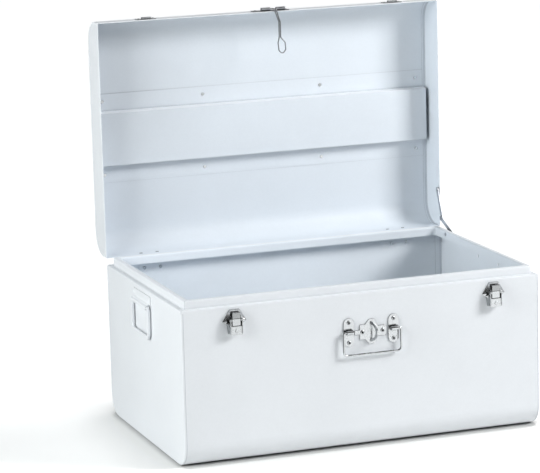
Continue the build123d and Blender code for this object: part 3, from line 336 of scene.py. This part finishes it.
def plate_bloom():
    """Cloudy, finely scratched zinc plate: a tone, a roughness and a height."""

    def fill(tree, given, result):
        cloud = put(
            tree,
            "ShaderNodeTexNoise",
            Vector=given["Position"],
            Scale=given["Cloud scale"],
            Detail=4.0,
            Roughness=0.65,
        )
        crystal = put(
            tree,
            "ShaderNodeTexVoronoi",
            Vector=given["Position"],
            Scale=given["Crystal scale"],
        )
        stretch = vectors(tree, "MULTIPLY", given["Position"], (1.0, 1.0, 0.08))
        scratch = put(
            tree, "ShaderNodeTexNoise", Vector=stretch, Scale=2600.0, Detail=2.0, Roughness=0.7
        )
        speck = put(tree, "ShaderNodeSeparateColor", Color=crystal.outputs["Color"])
        tone = ramp(tree, cloud.outputs[0], 0.3, 0.7, given["Dark"], 1.0)
        tone = maths(tree, "MULTIPLY", tone, ramp(tree, speck.outputs[0], 0.0, 1.0, 0.93, 1.0))
        rough = ramp(tree, cloud.outputs[0], 0.32, 0.68, given["Smooth"], given["Rough"])
        rough = maths(tree, "ADD", rough, ramp(tree, speck.outputs[1], 0.0, 1.0, -0.03, 0.03))
        height = maths(tree, "MULTIPLY", scratch.outputs[0], given["Scratch height"])
        tree.links.new(tone, result["Tone"])
        tree.links.new(rough, result["Roughness"])
        tree.links.new(height, result["Height"])

    return effect(
        "Plate bloom",
        [
            ("Position", VECTOR, None),
            ("Cloud scale", FLOAT, 90.0),
            ("Crystal scale", FLOAT, 900.0),
            ("Dark", FLOAT, 0.85),
            ("Smooth", FLOAT, 0.14),
            ("Rough", FLOAT, 0.3),
            ("Scratch height", FLOAT, 0.000004),
        ],
        [("Tone", FLOAT), ("Roughness", FLOAT), ("Height", FLOAT)],
        fill,
    )


# ---------------------------------------------------------------- materials
def new_material(name):
    """Empty material with its shader, texture coordinates and output."""
    material = bpy.data.materials.new(name)
    material.use_nodes = True
    tree = material.node_tree
    tree.nodes.clear()
    out = tree.nodes.new("ShaderNodeOutputMaterial")
    shader = tree.nodes.new("ShaderNodeBsdfPrincipled")
    where = tree.nodes.new("ShaderNodeTexCoord")
    tree.links.new(shader.outputs[0], out.inputs[0])
    return material, tree, shader, where.outputs


def scaled(tree, colour, factor):
    """A colour times a factor that changes over the surface."""
    node = tree.nodes.new("ShaderNodeVectorMath")
    node.operation = "SCALE"
    if isinstance(colour, bpy.types.NodeSocket):
        tree.links.new(colour, node.inputs[0])
    else:
        node.inputs[0].default_value = colour[:3]
    tree.links.new(factor, node.inputs["Scale"])
    return node.outputs["Vector"]


def painted_crevice_shade(tree, reach, dark, low=0.25, high=0.85):
    """Factor that darkens the last few millimetres of a corner or a contact.

    It is painted shade: dark where the surroundings leave less than low of the sky open, and 1
    above high.
    """
    touch = put(tree, "ShaderNodeAmbientOcclusion", {"samples": 12}, Distance=reach)
    return ramp(tree, touch.outputs["AO"], low, high, dark, 1.0, smooth=False)


def drift(tree, position, scale, low, high):
    """A tone drift in a material, as one value."""
    return use_effect(
        tree, tone_drift(), Position=position, Scale=scale, Low=low, High=high
    )["Value"]


JOINT_AND_SHADE_TONE = (0.2, 0.23, 0.28, 1.0)  # colour at the bottom of a seam or mitre joint, and of the painted shade along the stiffener's edge
LINE_STRENGTH = 0.55
LINE_DEPTH = 0.3 * MM
PAINT_IOR = 1.48


def powder_coat(name, paint, inner, centre, seam=None, mitre=None, level=None, painted_falloff=None):
    """White powder-coated sheet; centre, when given, marks the hollow that has the inner tone.

    The inner tone is the paint tinted as painted light and shade. seam and mitre hold the
    settings of their joint lines, level those of a line of painted shade. painted_falloff is a
    pair: two places along X with the painted shade's drop of the inner tone at each, and two
    heights with the share of that drop at each.
    """
    material, tree, shader, where = new_material(name)
    position = where["Object"]
    if centre is None:
        colour = (*paint.outside, 1.0)
    else:
        inside = use_effect(
            tree, inner_side(), Position=position, Normal=where["Normal"], Centre=centre
        )["Mask"]
        # the inner tone is painted light and shade on the same paint
        hollow = (*inner, 1.0)
        # painted shade: the inner tone darkened along X and with height
        if painted_falloff:
            split = put(tree, "ShaderNodeSeparateXYZ", Vector=position)
            along = ramp(tree, split.outputs["X"], *painted_falloff[0])
            up = ramp(tree, split.outputs["Z"], *painted_falloff[1])
            drop = maths(tree, "MULTIPLY", along, up)
            hollow = scaled(tree, hollow, maths(tree, "SUBTRACT", 1.0, drop))
        colour = blend_colours(tree, inside, (*paint.outside, 1.0), hollow)
    lines = [
        use_effect(tree, group(), Position=position, **wanted)["Mask"]
        for group, wanted in ((seam_lines, seam), (mitre_lines, mitre), (level_line, level))
        if wanted
    ]
    cloud = drift(tree, position, 9.0, 0.975, 1.0)
    speckle = drift(tree, position, 260.0, 0.985, 1.0)
    tone = maths(tree, "MULTIPLY", cloud, speckle)
    # painted shade: the coat's colour darkened in corners and along contacts
    tone = maths(tree, "MULTIPLY", tone, painted_crevice_shade(tree, 4 * MM, 0.55))
    colour = scaled(tree, colour, tone)
    height = use_effect(
        tree,
        coat_grain(),
        Position=position,
        Peel_scale=paint.peel_scale,
        Peel_height=paint.peel_height,
        Sheet_height=paint.sheet_height,
    )["Height"]
    # seam and mitre lines are dark joints; a level line is painted shade
    for line in lines:
        amount = maths(tree, "MULTIPLY", line, LINE_STRENGTH)
        colour = blend_colours(tree, amount, colour, JOINT_AND_SHADE_TONE)
        height = maths(tree, "SUBTRACT", height, maths(tree, "MULTIPLY", line, LINE_DEPTH))
    tree.links.new(colour, shader.inputs["Base Color"])
    gloss = drift(tree, position, 35.0, paint.gloss_low, paint.gloss_high)
    tree.links.new(gloss, shader.inputs["Roughness"])
    shader.inputs["IOR"].default_value = PAINT_IOR
    bump = put(tree, "ShaderNodeBump", Strength=1.0, Distance=1.0, Height=height)
    tree.links.new(bump.outputs["Normal"], shader.inputs["Normal"])
    return material


GROOVE_TONE, FOLD_TONE = 0.12, 0.62  # factors for the painted shade in the groove under a link's block, and for the darker part above it


def zinc_plate(name, colour, smooth, rough, dark=0.85, cloud=90.0, level=None):
    """Zinc-plated steel; level, when given, paints shade into a groove and darkens the part above
    it.
    """
    material, tree, shader, where = new_material(name)
    bloom = use_effect(
        tree,
        plate_bloom(),
        Position=where["Object"],
        Smooth=smooth,
        Rough=rough,
        Dark=dark,
        Cloud_scale=cloud,
    )
    # painted shade: the plate's colour darkened in corners, grooves and along contacts
    tone = maths(tree, "MULTIPLY", bloom["Tone"], painted_crevice_shade(tree, 4 * MM, 0.12, 0.45, 0.9))
    # painted shade in the link's groove, and a darker tone above it
    if level:
        band = use_effect(tree, level_line(), Position=where["Object"], **level)
        for mask, least in ((band["Mask"], GROOVE_TONE), (band["Above"], FOLD_TONE)):
            tone = maths(tree, "MULTIPLY", tone, ramp(tree, mask, 0.0, 1.0, 1.0, least, False))
    tree.links.new(scaled(tree, (*colour, 1.0), tone), shader.inputs["Base Color"])
    tree.links.new(bloom["Roughness"], shader.inputs["Roughness"])
    shader.inputs["Metallic"].default_value = 1.0
    bump = put(tree, "ShaderNodeBump", Strength=1.0, Distance=1.0, Height=bloom["Height"])
    tree.links.new(bump.outputs["Normal"], shader.inputs["Normal"])
    return material


def dress(nodes, material, round_by=0.0):
    """Give CAD nodes a material and, where they are sharp, a small bevel."""
    for name in nodes:
        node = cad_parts.get(name)
        if node is None:
            raise RuntimeError(f"the frame has no node {name}")
        node.data.materials.clear()
        node.data.materials.append(material)
        if round_by:
            edge = node.modifiers.new("softened edges", "BEVEL")
            edge.width = round_by
            edge.segments = 2
            edge.limit_method = "ANGLE"
            edge.angle_limit = math.radians(40)
            edge.harden_normals = True
            edge.use_clamp_overlap = True


def turned(form, outline, place, axis, hollow_from=None):
    """Turn an outline of (radius, height) points about an axis, as a closed body.

    Faces up to the outline's point hollow_from take the second material.
    """
    axis = Vector(axis).normalized()
    across = axis.orthogonal().normalized()
    beside = axis.cross(across)
    place = Vector(place)
    rings = []
    for radius, height in outline:
        centre = place + axis * height
        if radius == 0.0:
            rings.append([form.verts.new(centre)])
            continue
        turns = [2 * math.pi * k / ROUND for k in range(ROUND)]
        rings.append(
            [
                form.verts.new(centre + (across * math.cos(t) + beside * math.sin(t)) * radius)
                for t in turns
            ]
        )
    for index, (first, second) in enumerate(zip(rings, rings[1:])):
        for k in range(ROUND):
            after = (k + 1) % ROUND
            corners = [first[k % len(first)], second[k % len(second)]]
            if len(second) > 1:
                corners.append(second[after])
            if len(first) > 1:
                corners.append(first[after])
            face = form.faces.new(corners)
            face.smooth = True
            if hollow_from is not None and index < hollow_from:
                face.material_index = 1


def mesh_piece(name, form, body, materials, crease=35.0):
    """Finish a bmesh as an object that rides on a body."""
    bmesh.ops.recalc_face_normals(form, faces=form.faces)
    mesh = bpy.data.meshes.new(name)
    form.to_mesh(mesh)
    form.free()
    for material in materials:
        mesh.materials.append(material)
    mesh.set_sharp_from_angle(angle=math.radians(crease))
    item = bpy.data.objects.new(name, mesh)
    bpy.context.scene.collection.objects.link(item)
    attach(item, body)
    return item


def tubular_rivets(name, places, out, body, materials):
    """Rolled hollow rivets; each place is on the fitting's face, out points away from it."""
    form = bmesh.new()
    for place in places:
        turned(form, [(r * MM, h * MM) for r, h in RIVET_OUTLINE], place, out, RIVET_HOLLOW)
    return mesh_piece(name, form, body, materials)


# ---------------------------------------------------------------- settings
class TrunkPaint(bpy.types.PropertyGroup):
    """Powder coat on the body, the lid and the side handles."""

    outside: bpy.props.FloatVectorProperty(
        name="Outside", description="Paint on the outer faces", subtype="COLOR", size=3,
        default=(0.865, 0.89, 0.92), min=0.0, max=1.0,
    )
    # painted light and shade: the same paint as outside, tinted bluer for the body's inside
    body_inside_shaded_tint: bpy.props.FloatVectorProperty(
        name="Inside the body", description="Paint on the body's inner faces", subtype="COLOR",
        size=3, default=(0.885, 0.935, 0.985), min=0.0, max=1.0,
    )
    # painted shade: the same paint as outside, tinted darker and bluer for the lid's inside
    lid_inside_shaded_tint: bpy.props.FloatVectorProperty(
        name="Inside the lid", description="Paint on the lid's inner faces", subtype="COLOR",
        size=3, default=(0.80, 0.85, 0.905), min=0.0, max=1.0,
    )
    peel_scale: bpy.props.FloatProperty(
        name="Orange peel", description="Bumps of the coat per metre", default=420.0, min=1.0
    )
    peel_height: bpy.props.FloatProperty(
        name="Peel height", description="Height of the coat's bumps", default=0.000012,
        unit="LENGTH", precision=6, min=0.0,
    )
    sheet_height: bpy.props.FloatProperty(
        name="Sheet unevenness", description="Height of the slow waves in the sheet",
        default=0.0006, unit="LENGTH", precision=5, min=0.0,
    )
    gloss_low: bpy.props.FloatProperty(
        name="Roughness, low", description="Roughness of the glossier patches",
        default=0.34, min=0.0, max=1.0, subtype="FACTOR",
    )
    gloss_high: bpy.props.FloatProperty(
        name="Roughness, high", description="Roughness of the duller patches",
        default=0.44, min=0.0, max=1.0, subtype="FACTOR",
    )


class TrunkMetal(bpy.types.PropertyGroup):
    """Plated fittings."""

    zinc: bpy.props.FloatVectorProperty(
        name="Zinc", description="Tint of the plated fittings", subtype="COLOR", size=3,
        default=(0.645, 0.665, 0.68), min=0.0, max=1.0,
    )
    strip: bpy.props.FloatVectorProperty(
        name="Stay", description="Tint of the stay's strip steel", subtype="COLOR", size=3,
        default=(0.70, 0.72, 0.76), min=0.0, max=1.0,
    )
    wire: bpy.props.FloatVectorProperty(
        name="Hasp", description="Tint of the hasp's wire and plate", subtype="COLOR", size=3,
        default=(0.36, 0.37, 0.385), min=0.0, max=1.0,
    )
    edge_round: bpy.props.FloatProperty(
        name="Edge rounding", description="Rounding of stamped edges", default=0.00025,
        unit="LENGTH", precision=5, min=0.0,
    )


class TrunkStudio(bpy.types.PropertyGroup):
    """Floor, lamps and camera."""

    key_power: bpy.props.FloatProperty(
        name="Key lamp", description="Power of the lamp at the upper right", default=84.0,
        unit="POWER", min=0.0,
    )
    key_size: bpy.props.FloatProperty(
        name="Key size", description="Width of the key lamp", default=1.0, unit="LENGTH", min=0.01
    )
    side_power: bpy.props.FloatProperty(
        name="Side lamp", description="Power of the lamp at the left", default=30.0,
        unit="POWER", min=0.0,
    )
    ambient: bpy.props.FloatProperty(
        name="Room light", description="Strength of the light from all round", default=0.12,
        min=0.0,
    )
    focal: bpy.props.FloatProperty(
        name="Focal length", description="Lens on a 36 mm wide sensor", default=186.0, min=1.0
    )


# ---------------------------------------------------------------- pieces
ROUND = 24  # sides of a turned piece
RIVET_HEAD = 3.2 * MM  # radius of a tubular rivet's rolled head
RIVET_SEAT = 1.4 * MM  # depth of the head's underside behind the front of the CAD rivet
RIVET_HOLLOW = 2  # the outline's first faces are the bore, in a near-black material as painted shade
# radius and height in mm, from the bottom of the bore over the rolled rim to the tail
RIVET_OUTLINE = (
    (0.0, -1.3), (1.25, -1.3), (1.3, 0.7), (1.6, 1.15), (2.15, 1.35), (2.75, 1.1),
    (3.15, 0.5), (3.2, 0.0), (1.6, -0.02), (1.6, -2.3), (2.6, -2.3), (2.5, -3.1), (0.0, -3.1),
)
LID_CENTRE = (0.0, 0.225, 0.454)
BODY_CENTRE = (0.0, 0.0, 0.13)
LINK_FOLD = 0.2318  # height of the groove under the link's block, at rest
# painted shade on the inner tone: (place, place, drop, drop) along X, then (height, height,
# share, share)
# the body's painted shadow: the inside darker towards the right end
BODY_PAINTED_SHADOW = ((0.0, 0.3, 0.0, 0.16), (0.0, 0.1, 1.0, 1.0))
# the lid's painted falloff of light: darker towards the left and towards the top
LID_PAINTED_FALLOFF = ((-0.3, 0.0, 0.2, 0.0), (0.36, 0.52, 0.2, 1.0))
# painted shadow of the gap under the stiffener's upper edge, fading out along X
RIB_EDGE_SHADE = {"Width": 1.2 * MM, "Start": -0.25, "Stop": -0.1, "Least": 0.15}
PRESSED_EDGE = 0.3 * MM  # rounding of pressed and painted sheet


class TRUNK_OT_body_paint(bpy.types.Operator):
    """Paint the body: the wrap and its two end panels"""

    bl_idname = "trunk.body_paint"
    bl_label = "Body paint"

    def execute(self, context):
        paint = context.scene.trunk_paint
        coat = powder_coat(
            "body powder coat",
            paint,
            paint.body_inside_shaded_tint,
            BODY_CENTRE,
            seam={"Seam": END_SEAM, "Top": RIM_FOOT},
            mitre={"Half_length": HALF_LENGTH, "Half_depth": HALF_DEPTH},
            painted_falloff=BODY_PAINTED_SHADOW,
        )
        dress(("body_wrap", "left_end_panel", "right_end_panel"), coat)
        return {"FINISHED"}


class TRUNK_OT_lid_paint(bpy.types.Operator):
    """Paint the lid, its ends and its stiffener, and plate the stiffener's rivets"""

    bl_idname = "trunk.lid_paint"
    bl_label = "Lid paint"

    def execute(self, context):
        paint = context.scene.trunk_paint
        coat = powder_coat(
            "lid powder coat",
            paint,
            paint.lid_inside_shaded_tint,
            LID_CENTRE,
            seam={"Seam": END_SEAM},
            painted_falloff=LID_PAINTED_FALLOFF,
        )
        dress(("lid_skin", "lid_left_end", "lid_right_end"), coat)
        rib_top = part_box("lid_stiffener")[1][2]
        # the stiffener's coat carries a painted shadow along its upper edge
        rib = powder_coat(
            "stiffener powder coat",
            paint,
            paint.lid_inside_shaded_tint,
            LID_CENTRE,
            level={"Level": rib_top, **RIB_EDGE_SHADE},
            painted_falloff=LID_PAINTED_FALLOFF,
        )
        dress(("lid_stiffener",), rib, PRESSED_EDGE)
        zinc = context.scene.trunk_metal.zinc
        dress(("stiffener_rivets",), zinc_plate("stiffener rivet zinc", zinc, 0.12, 0.2))
        return {"FINISHED"}


class TRUNK_OT_side_handles(bpy.types.Operator):
    """Paint the handles on the two ends, with their brackets and rivets"""

    bl_idname = "trunk.side_handles"
    bl_label = "Side handles"

    def execute(self, context):
        coat = powder_coat("handle powder coat", context.scene.trunk_paint, None, None)
        dress(("left_handle_bracket", "right_handle_bracket"), coat, PRESSED_EDGE)
        dress(("left_side_bail", "right_side_bail", "side_handle_rivets"), coat)
        return {"FINISHED"}


class TRUNK_OT_latches(bpy.types.Operator):
    """Plate the two draw latches and their strikes"""

    bl_idname = "trunk.latches"
    bl_label = "Latches"

    def execute(self, context):
        metal = context.scene.trunk_metal
        plate = zinc_plate("latch zinc", metal.zinc, 0.16, 0.32, 0.8)
        sharp = ("latch_bases", "left_latch_lever", "right_latch_lever", "latch_strikes")
        dress(sharp, plate, metal.edge_round)
        for link in ("left_latch_link", "right_latch_link"):
            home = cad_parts[link].matrix_world.inverted()
            fold = (home @ Vector((0.0, 0.0, LINK_FOLD))).z
            grooved = zinc_plate(
                link + " zinc", metal.zinc, 0.16, 0.32, 0.8,
                level={"Level": fold, "Width": 0.9 * MM},
            )
            dress((link,), grooved, metal.edge_round)
        dress(
            ("latch_base_rivets", "latch_pivot_pins", "left_link_pin", "right_link_pin",
             "latch_strike_rivets"),
            plate,
        )
        return {"FINISHED"}


class TRUNK_OT_front_handle(bpy.types.Operator):
    """Plate the front handle and the padlock eye between its plates"""

    bl_idname = "trunk.front_handle"
    bl_label = "Front handle and padlock eye"

    def execute(self, context):
        metal = context.scene.trunk_metal
        plate = zinc_plate("handle zinc", metal.zinc, 0.14, 0.3)
        dress(("handle_plates", "eye_plate"), plate, metal.edge_round)
        dress(("front_bail",), plate)
        # near-black plate for the rivets' bores: painted shade in the holes
        bore = zinc_plate("rivet bore", (0.06, 0.065, 0.07), 0.4, 0.6)
        for node in ("handle_rivets", "eye_rivets"):
            low, high = (Vector(corner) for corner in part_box(node))
            face = low.y + RIVET_SEAT
            heights = {round(low.z + RIVET_HEAD, 5), round(high.z - RIVET_HEAD, 5)}
            places = [
                (x, face, z)
                for x in (low.x + RIVET_HEAD, high.x - RIVET_HEAD)
                for z in sorted(heights)
            ]
            name = "tubular_" + node
            piece = tubular_rivets(name, places, (0, -1, 0), "trunk", (plate, bore))
            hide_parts(node)
        return {"FINISHED"}


class TRUNK_OT_hasp(bpy.types.Operator):
    """Plate the wire hasp and its plate"""

    bl_idname = "trunk.hasp"
    bl_label = "Wire hasp"

    def execute(self, context):
        metal = context.scene.trunk_metal
        plate = zinc_plate("hasp zinc", metal.wire, 0.3, 0.45)
        dress(("hasp_plate",), plate, metal.edge_round)
        dress(("hasp_rivets", "hasp_loop"), plate)
        return {"FINISHED"}


class TRUNK_OT_hinges(bpy.types.Operator):
    """Plate the two hinges"""

    bl_idname = "trunk.hinges"
    bl_label = "Hinges"

    def execute(self, context):
        metal = context.scene.trunk_metal
        plate = zinc_plate("hinge zinc", metal.zinc, 0.18, 0.34)
        dress(("hinge_body_leaves", "hinge_lid_leaves"), plate, metal.edge_round)
        dress(("hinge_pins", "hinge_body_rivets", "hinge_lid_rivets"), plate)
        return {"FINISHED"}


class TRUNK_OT_stay(bpy.types.Operator):
    """Finish the folding stay and its rivets"""

    bl_idname = "trunk.stay"
    bl_label = "Folding stay"

    def execute(self, context):
        metal = context.scene.trunk_metal
        strip = zinc_plate("stay strip", metal.strip, 0.28, 0.42, 0.9, 60.0)
        dress(("stay_upper_link", "stay_lower_link"), strip, metal.edge_round)
        dress(("stay_body_rivet", "stay_lid_rivet"), strip)
        return {"FINISHED"}


# ---------------------------------------------------------------- studio
KEY_PLACE, KEY_TARGET = (2.23, -1.5, 1.85), (0, 0, 0.3)
SIDE_PLACE, SIDE_TARGET = (-1.9, -0.5, 0.9), (-0.1, 0, 0.25)
SIDE_SIZE, SIDE_COLOUR = 1.2, (0.98, 1.0, 0.99)
ROOM_COLOUR = (0.76, 0.88, 1.0, 1.0)

FLOOR_HALF = 20.0
FLOOR_TONE = (0.9, 0.9, 0.885, 1.0)
GREY_PATCH = (-0.55, -0.25, 0.0)  # middle of the duller patch at the trunk's left
PATCH_EDGE = (0.3, 0.75)  # distances from there at which the patch starts to fade, and ends
PATCH_GLOW, OPEN_GLOW = 0.38, 0.9  # light that the camera sees over the floor's own
MIRROR_GLOW = 0.5  # the same for what metal mirrors
MIRROR_EDGE = (-0.6, 0.0)  # along X, from the floor that metal mirrors dim to the bright one
MIRROR_DIM = 0.75  # share of the floor's light that metal doesn't mirror at the dim side

CAMERA_PLACE = (-1.56403, -4.13232, 1.18175)
CAMERA_YAW, CAMERA_PITCH, CAMERA_ROLL = 19.724, 11.215, -1.536  # degrees
SENSOR_WIDTH = 36.0  # mm


def aim(item, place, target):
    """Put a lamp somewhere and point it."""
    item.location = place
    way = Vector(target) - Vector(place)
    item.rotation_euler = way.to_track_quat("-Z", "Y").to_euler()


def lamp(name, power, size, place, target, colour=(1.0, 1.0, 1.0), mirrored=True):
    """Square soft lamp; mirrored says whether polished metal shows it."""
    data = bpy.data.lights.new(name, "AREA")
    data.energy = power
    data.size = size
    data.color = colour
    item = bpy.data.objects.new(name, data)
    item.visible_glossy = mirrored
    bpy.context.scene.collection.objects.link(item)
    aim(item, place, target)
    return item


def mirror_rays(tree, ray):
    """1 for the rays that mirrors and clear bodies send on."""
    return maths(
        tree, "MAXIMUM", ray.outputs["Is Glossy Ray"], ray.outputs["Is Transmission Ray"]
    )


class TRUNK_OT_studio(bpy.types.Operator):
    """Build the floor, the room light, the lamps and the camera"""

    bl_idname = "trunk.studio"
    bl_label = "Studio"

    def execute(self, context):
        studio = context.scene.trunk_studio
        self.floor()
        self.room(context, studio)
        lamp("key lamp", studio.key_power, studio.key_size, KEY_PLACE, KEY_TARGET)
        lamp(
            "side lamp", studio.side_power, SIDE_SIZE, SIDE_PLACE, SIDE_TARGET,
            SIDE_COLOUR, mirrored=False,
        )
        self.camera(context, studio)
        context.scene.view_settings.view_transform = "Standard"
        return {"FINISHED"}

    def floor(self):
        """Flat pale floor round the trunk."""
        mesh = bpy.data.meshes.new("floor")
        form = bmesh.new()
        bmesh.ops.create_grid(form, x_segments=8, y_segments=8, size=FLOOR_HALF)
        form.to_mesh(mesh)
        form.free()
        item = bpy.data.objects.new("floor", mesh)
        bpy.context.scene.collection.objects.link(item)
        mesh.materials.append(self.floor_material())

    def floor_material(self):
        """Pale surface that keeps the trunk's shadow, has a painted contact shadow at the trunk's
        foot, and glows for the camera away from it.
        """
        material = bpy.data.materials.new("pale floor")
        material.use_nodes = True
        tree = material.node_tree
        tree.nodes.clear()
        out = tree.nodes.new("ShaderNodeOutputMaterial")
        where = tree.nodes.new("ShaderNodeTexCoord")
        ray = tree.nodes.new("ShaderNodeLightPath")
        camera, mirror = ray.outputs["Is Camera Ray"], mirror_rays(tree, ray)
        split = put(tree, "ShaderNodeSeparateXYZ", Vector=where.outputs["Object"])

        # painted contact shadow: the floor's glow fades out near the trunk by ambient occlusion
        touch = put(tree, "ShaderNodeAmbientOcclusion", {"samples": 8}, Distance=0.16)
        clear = ramp(tree, touch.outputs["AO"], 0.45, 0.97)
        off = vectors(tree, "SUBTRACT", where.outputs["Object"], GREY_PATCH)
        away = vectors(tree, "LENGTH", off)
        seen = maths(
            tree, "MULTIPLY", camera, ramp(tree, away, *PATCH_EDGE, PATCH_GLOW, OPEN_GLOW)
        )
        lit = ramp(tree, split.outputs["X"], *MIRROR_EDGE)
        shown = maths(tree, "MULTIPLY", mirror, maths(tree, "MULTIPLY", lit, MIRROR_GLOW))
        glow = maths(tree, "MULTIPLY", clear, maths(tree, "ADD", seen, shown))

        shade = ramp(tree, split.outputs["X"], *MIRROR_EDGE, MIRROR_DIM, 0.0)
        dim = maths(tree, "SUBTRACT", 1.0, maths(tree, "MULTIPLY", mirror, shade))
        # painted contact shadow: the floor's colour darkened for the camera within about 18 mm of
        # the trunk
        edge = painted_crevice_shade(tree, 18 * MM, 0.6, 0.5, 0.85)
        contact = ramp(tree, camera, 0.0, 1.0, 1.0, edge, smooth=False)
        dim = maths(tree, "MULTIPLY", dim, contact)

        diffuse = put(tree, "ShaderNodeBsdfDiffuse", Color=scaled(tree, FLOOR_TONE, dim))
        shine = put(tree, "ShaderNodeEmission", Color=WHITE, Strength=glow)
        both = tree.nodes.new("ShaderNodeAddShader")
        tree.links.new(diffuse.outputs[0], both.inputs[0])
        tree.links.new(shine.outputs[0], both.inputs[1])
        tree.links.new(both.outputs[0], out.inputs[0])
        return material

    def room(self, context, studio):
        """White to the camera, darker in mirrors towards the front, soft to everything else."""
        world = bpy.data.worlds.new("room")
        world.use_nodes = True
        tree = world.node_tree
        tree.nodes.clear()
        out = tree.nodes.new("ShaderNodeOutputWorld")
        ray = tree.nodes.new("ShaderNodeLightPath")
        where = tree.nodes.new("ShaderNodeTexCoord")
        split = put(tree, "ShaderNodeSeparateXYZ", Vector=where.outputs["Generated"])
        behind = ramp(tree, split.outputs["Y"], -0.55, 0.35, 0.10, 1.0)
        camera, mirror = ray.outputs["Is Camera Ray"], mirror_rays(tree, ray)
        bright = maths(tree, "MAXIMUM", camera, maths(tree, "MULTIPLY", behind, mirror))
        soft = put(tree, "ShaderNodeBackground", Color=ROOM_COLOUR, Strength=studio.ambient)
        seen = put(tree, "ShaderNodeBackground", Color=WHITE, Strength=bright)
        mix = tree.nodes.new("ShaderNodeMixShader")
        tree.links.new(maths(tree, "MAXIMUM", camera, mirror), mix.inputs[0])
        tree.links.new(soft.outputs[0], mix.inputs[1])
        tree.links.new(seen.outputs[0], mix.inputs[2])
        tree.links.new(mix.outputs[0], out.inputs[0])
        context.scene.world = world

    def camera(self, context, studio):
        """Camera at the photograph's place, worked out from the trunk's corners."""
        yaw, pitch, roll = map(math.radians, (CAMERA_YAW, CAMERA_PITCH, CAMERA_ROLL))
        ahead = Vector(
            (math.sin(yaw) * math.cos(pitch), math.cos(yaw) * math.cos(pitch), -math.sin(pitch))
        )
        level = Vector((math.cos(yaw), -math.sin(yaw), 0.0))
        lift = level.cross(ahead)
        right = level * math.cos(roll) + lift * math.sin(roll)
        up = lift * math.cos(roll) - level * math.sin(roll)
        data = bpy.data.cameras.new("camera")
        data.sensor_width = SENSOR_WIDTH
        data.lens = studio.focal
        data.clip_start, data.clip_end = 0.1, 100.0
        item = bpy.data.objects.new("camera", data)
        context.scene.collection.objects.link(item)
        turn = Matrix((right, up, -ahead)).transposed().to_4x4()
        item.matrix_world = Matrix.Translation(CAMERA_PLACE) @ turn
        context.scene.camera = item


class VIEW3D_PT_trunk(bpy.types.Panel):
    """Sidebar list of the trunk's pieces and settings"""

    bl_label = "Sheet-steel trunk"
    bl_space_type = "VIEW_3D"
    bl_region_type = "UI"
    bl_category = "Trunk"

    def draw(self, context):
        column = self.layout.column()
        for group in (
            context.scene.trunk_paint, context.scene.trunk_metal, context.scene.trunk_studio
        ):
            for key in group.__annotations__:
                column.prop(group, key)
        for step in STEPS:
            column.operator(step.bl_idname)


SETTINGS = {
    "trunk_paint": TrunkPaint,
    "trunk_metal": TrunkMetal,
    "trunk_studio": TrunkStudio,
}
STEPS = (
    TRUNK_OT_studio,
    TRUNK_OT_body_paint,
    TRUNK_OT_lid_paint,
    TRUNK_OT_side_handles,
    TRUNK_OT_latches,
    TRUNK_OT_front_handle,
    TRUNK_OT_hasp,
    TRUNK_OT_hinges,
    TRUNK_OT_stay,
)
CLASSES = (*SETTINGS.values(), *STEPS, VIEW3D_PT_trunk)


def register():
    for item in CLASSES:
        bpy.utils.register_class(item)
    for name, group in SETTINGS.items():
        setattr(bpy.types.Scene, name, bpy.props.PointerProperty(type=group))


def unregister():
    for name in SETTINGS:
        delattr(bpy.types.Scene, name)
    for item in reversed(CLASSES):
        bpy.utils.unregister_class(item)


def main():
    """Build every piece in order."""
    register()
    for step in STEPS:
        area, name = step.bl_idname.split(".")
        if getattr(getattr(bpy.ops, area), name)() != {"FINISHED"}:
            raise RuntimeError(f"{step.bl_label} didn't finish")


if __name__ == "__main__":
    main()
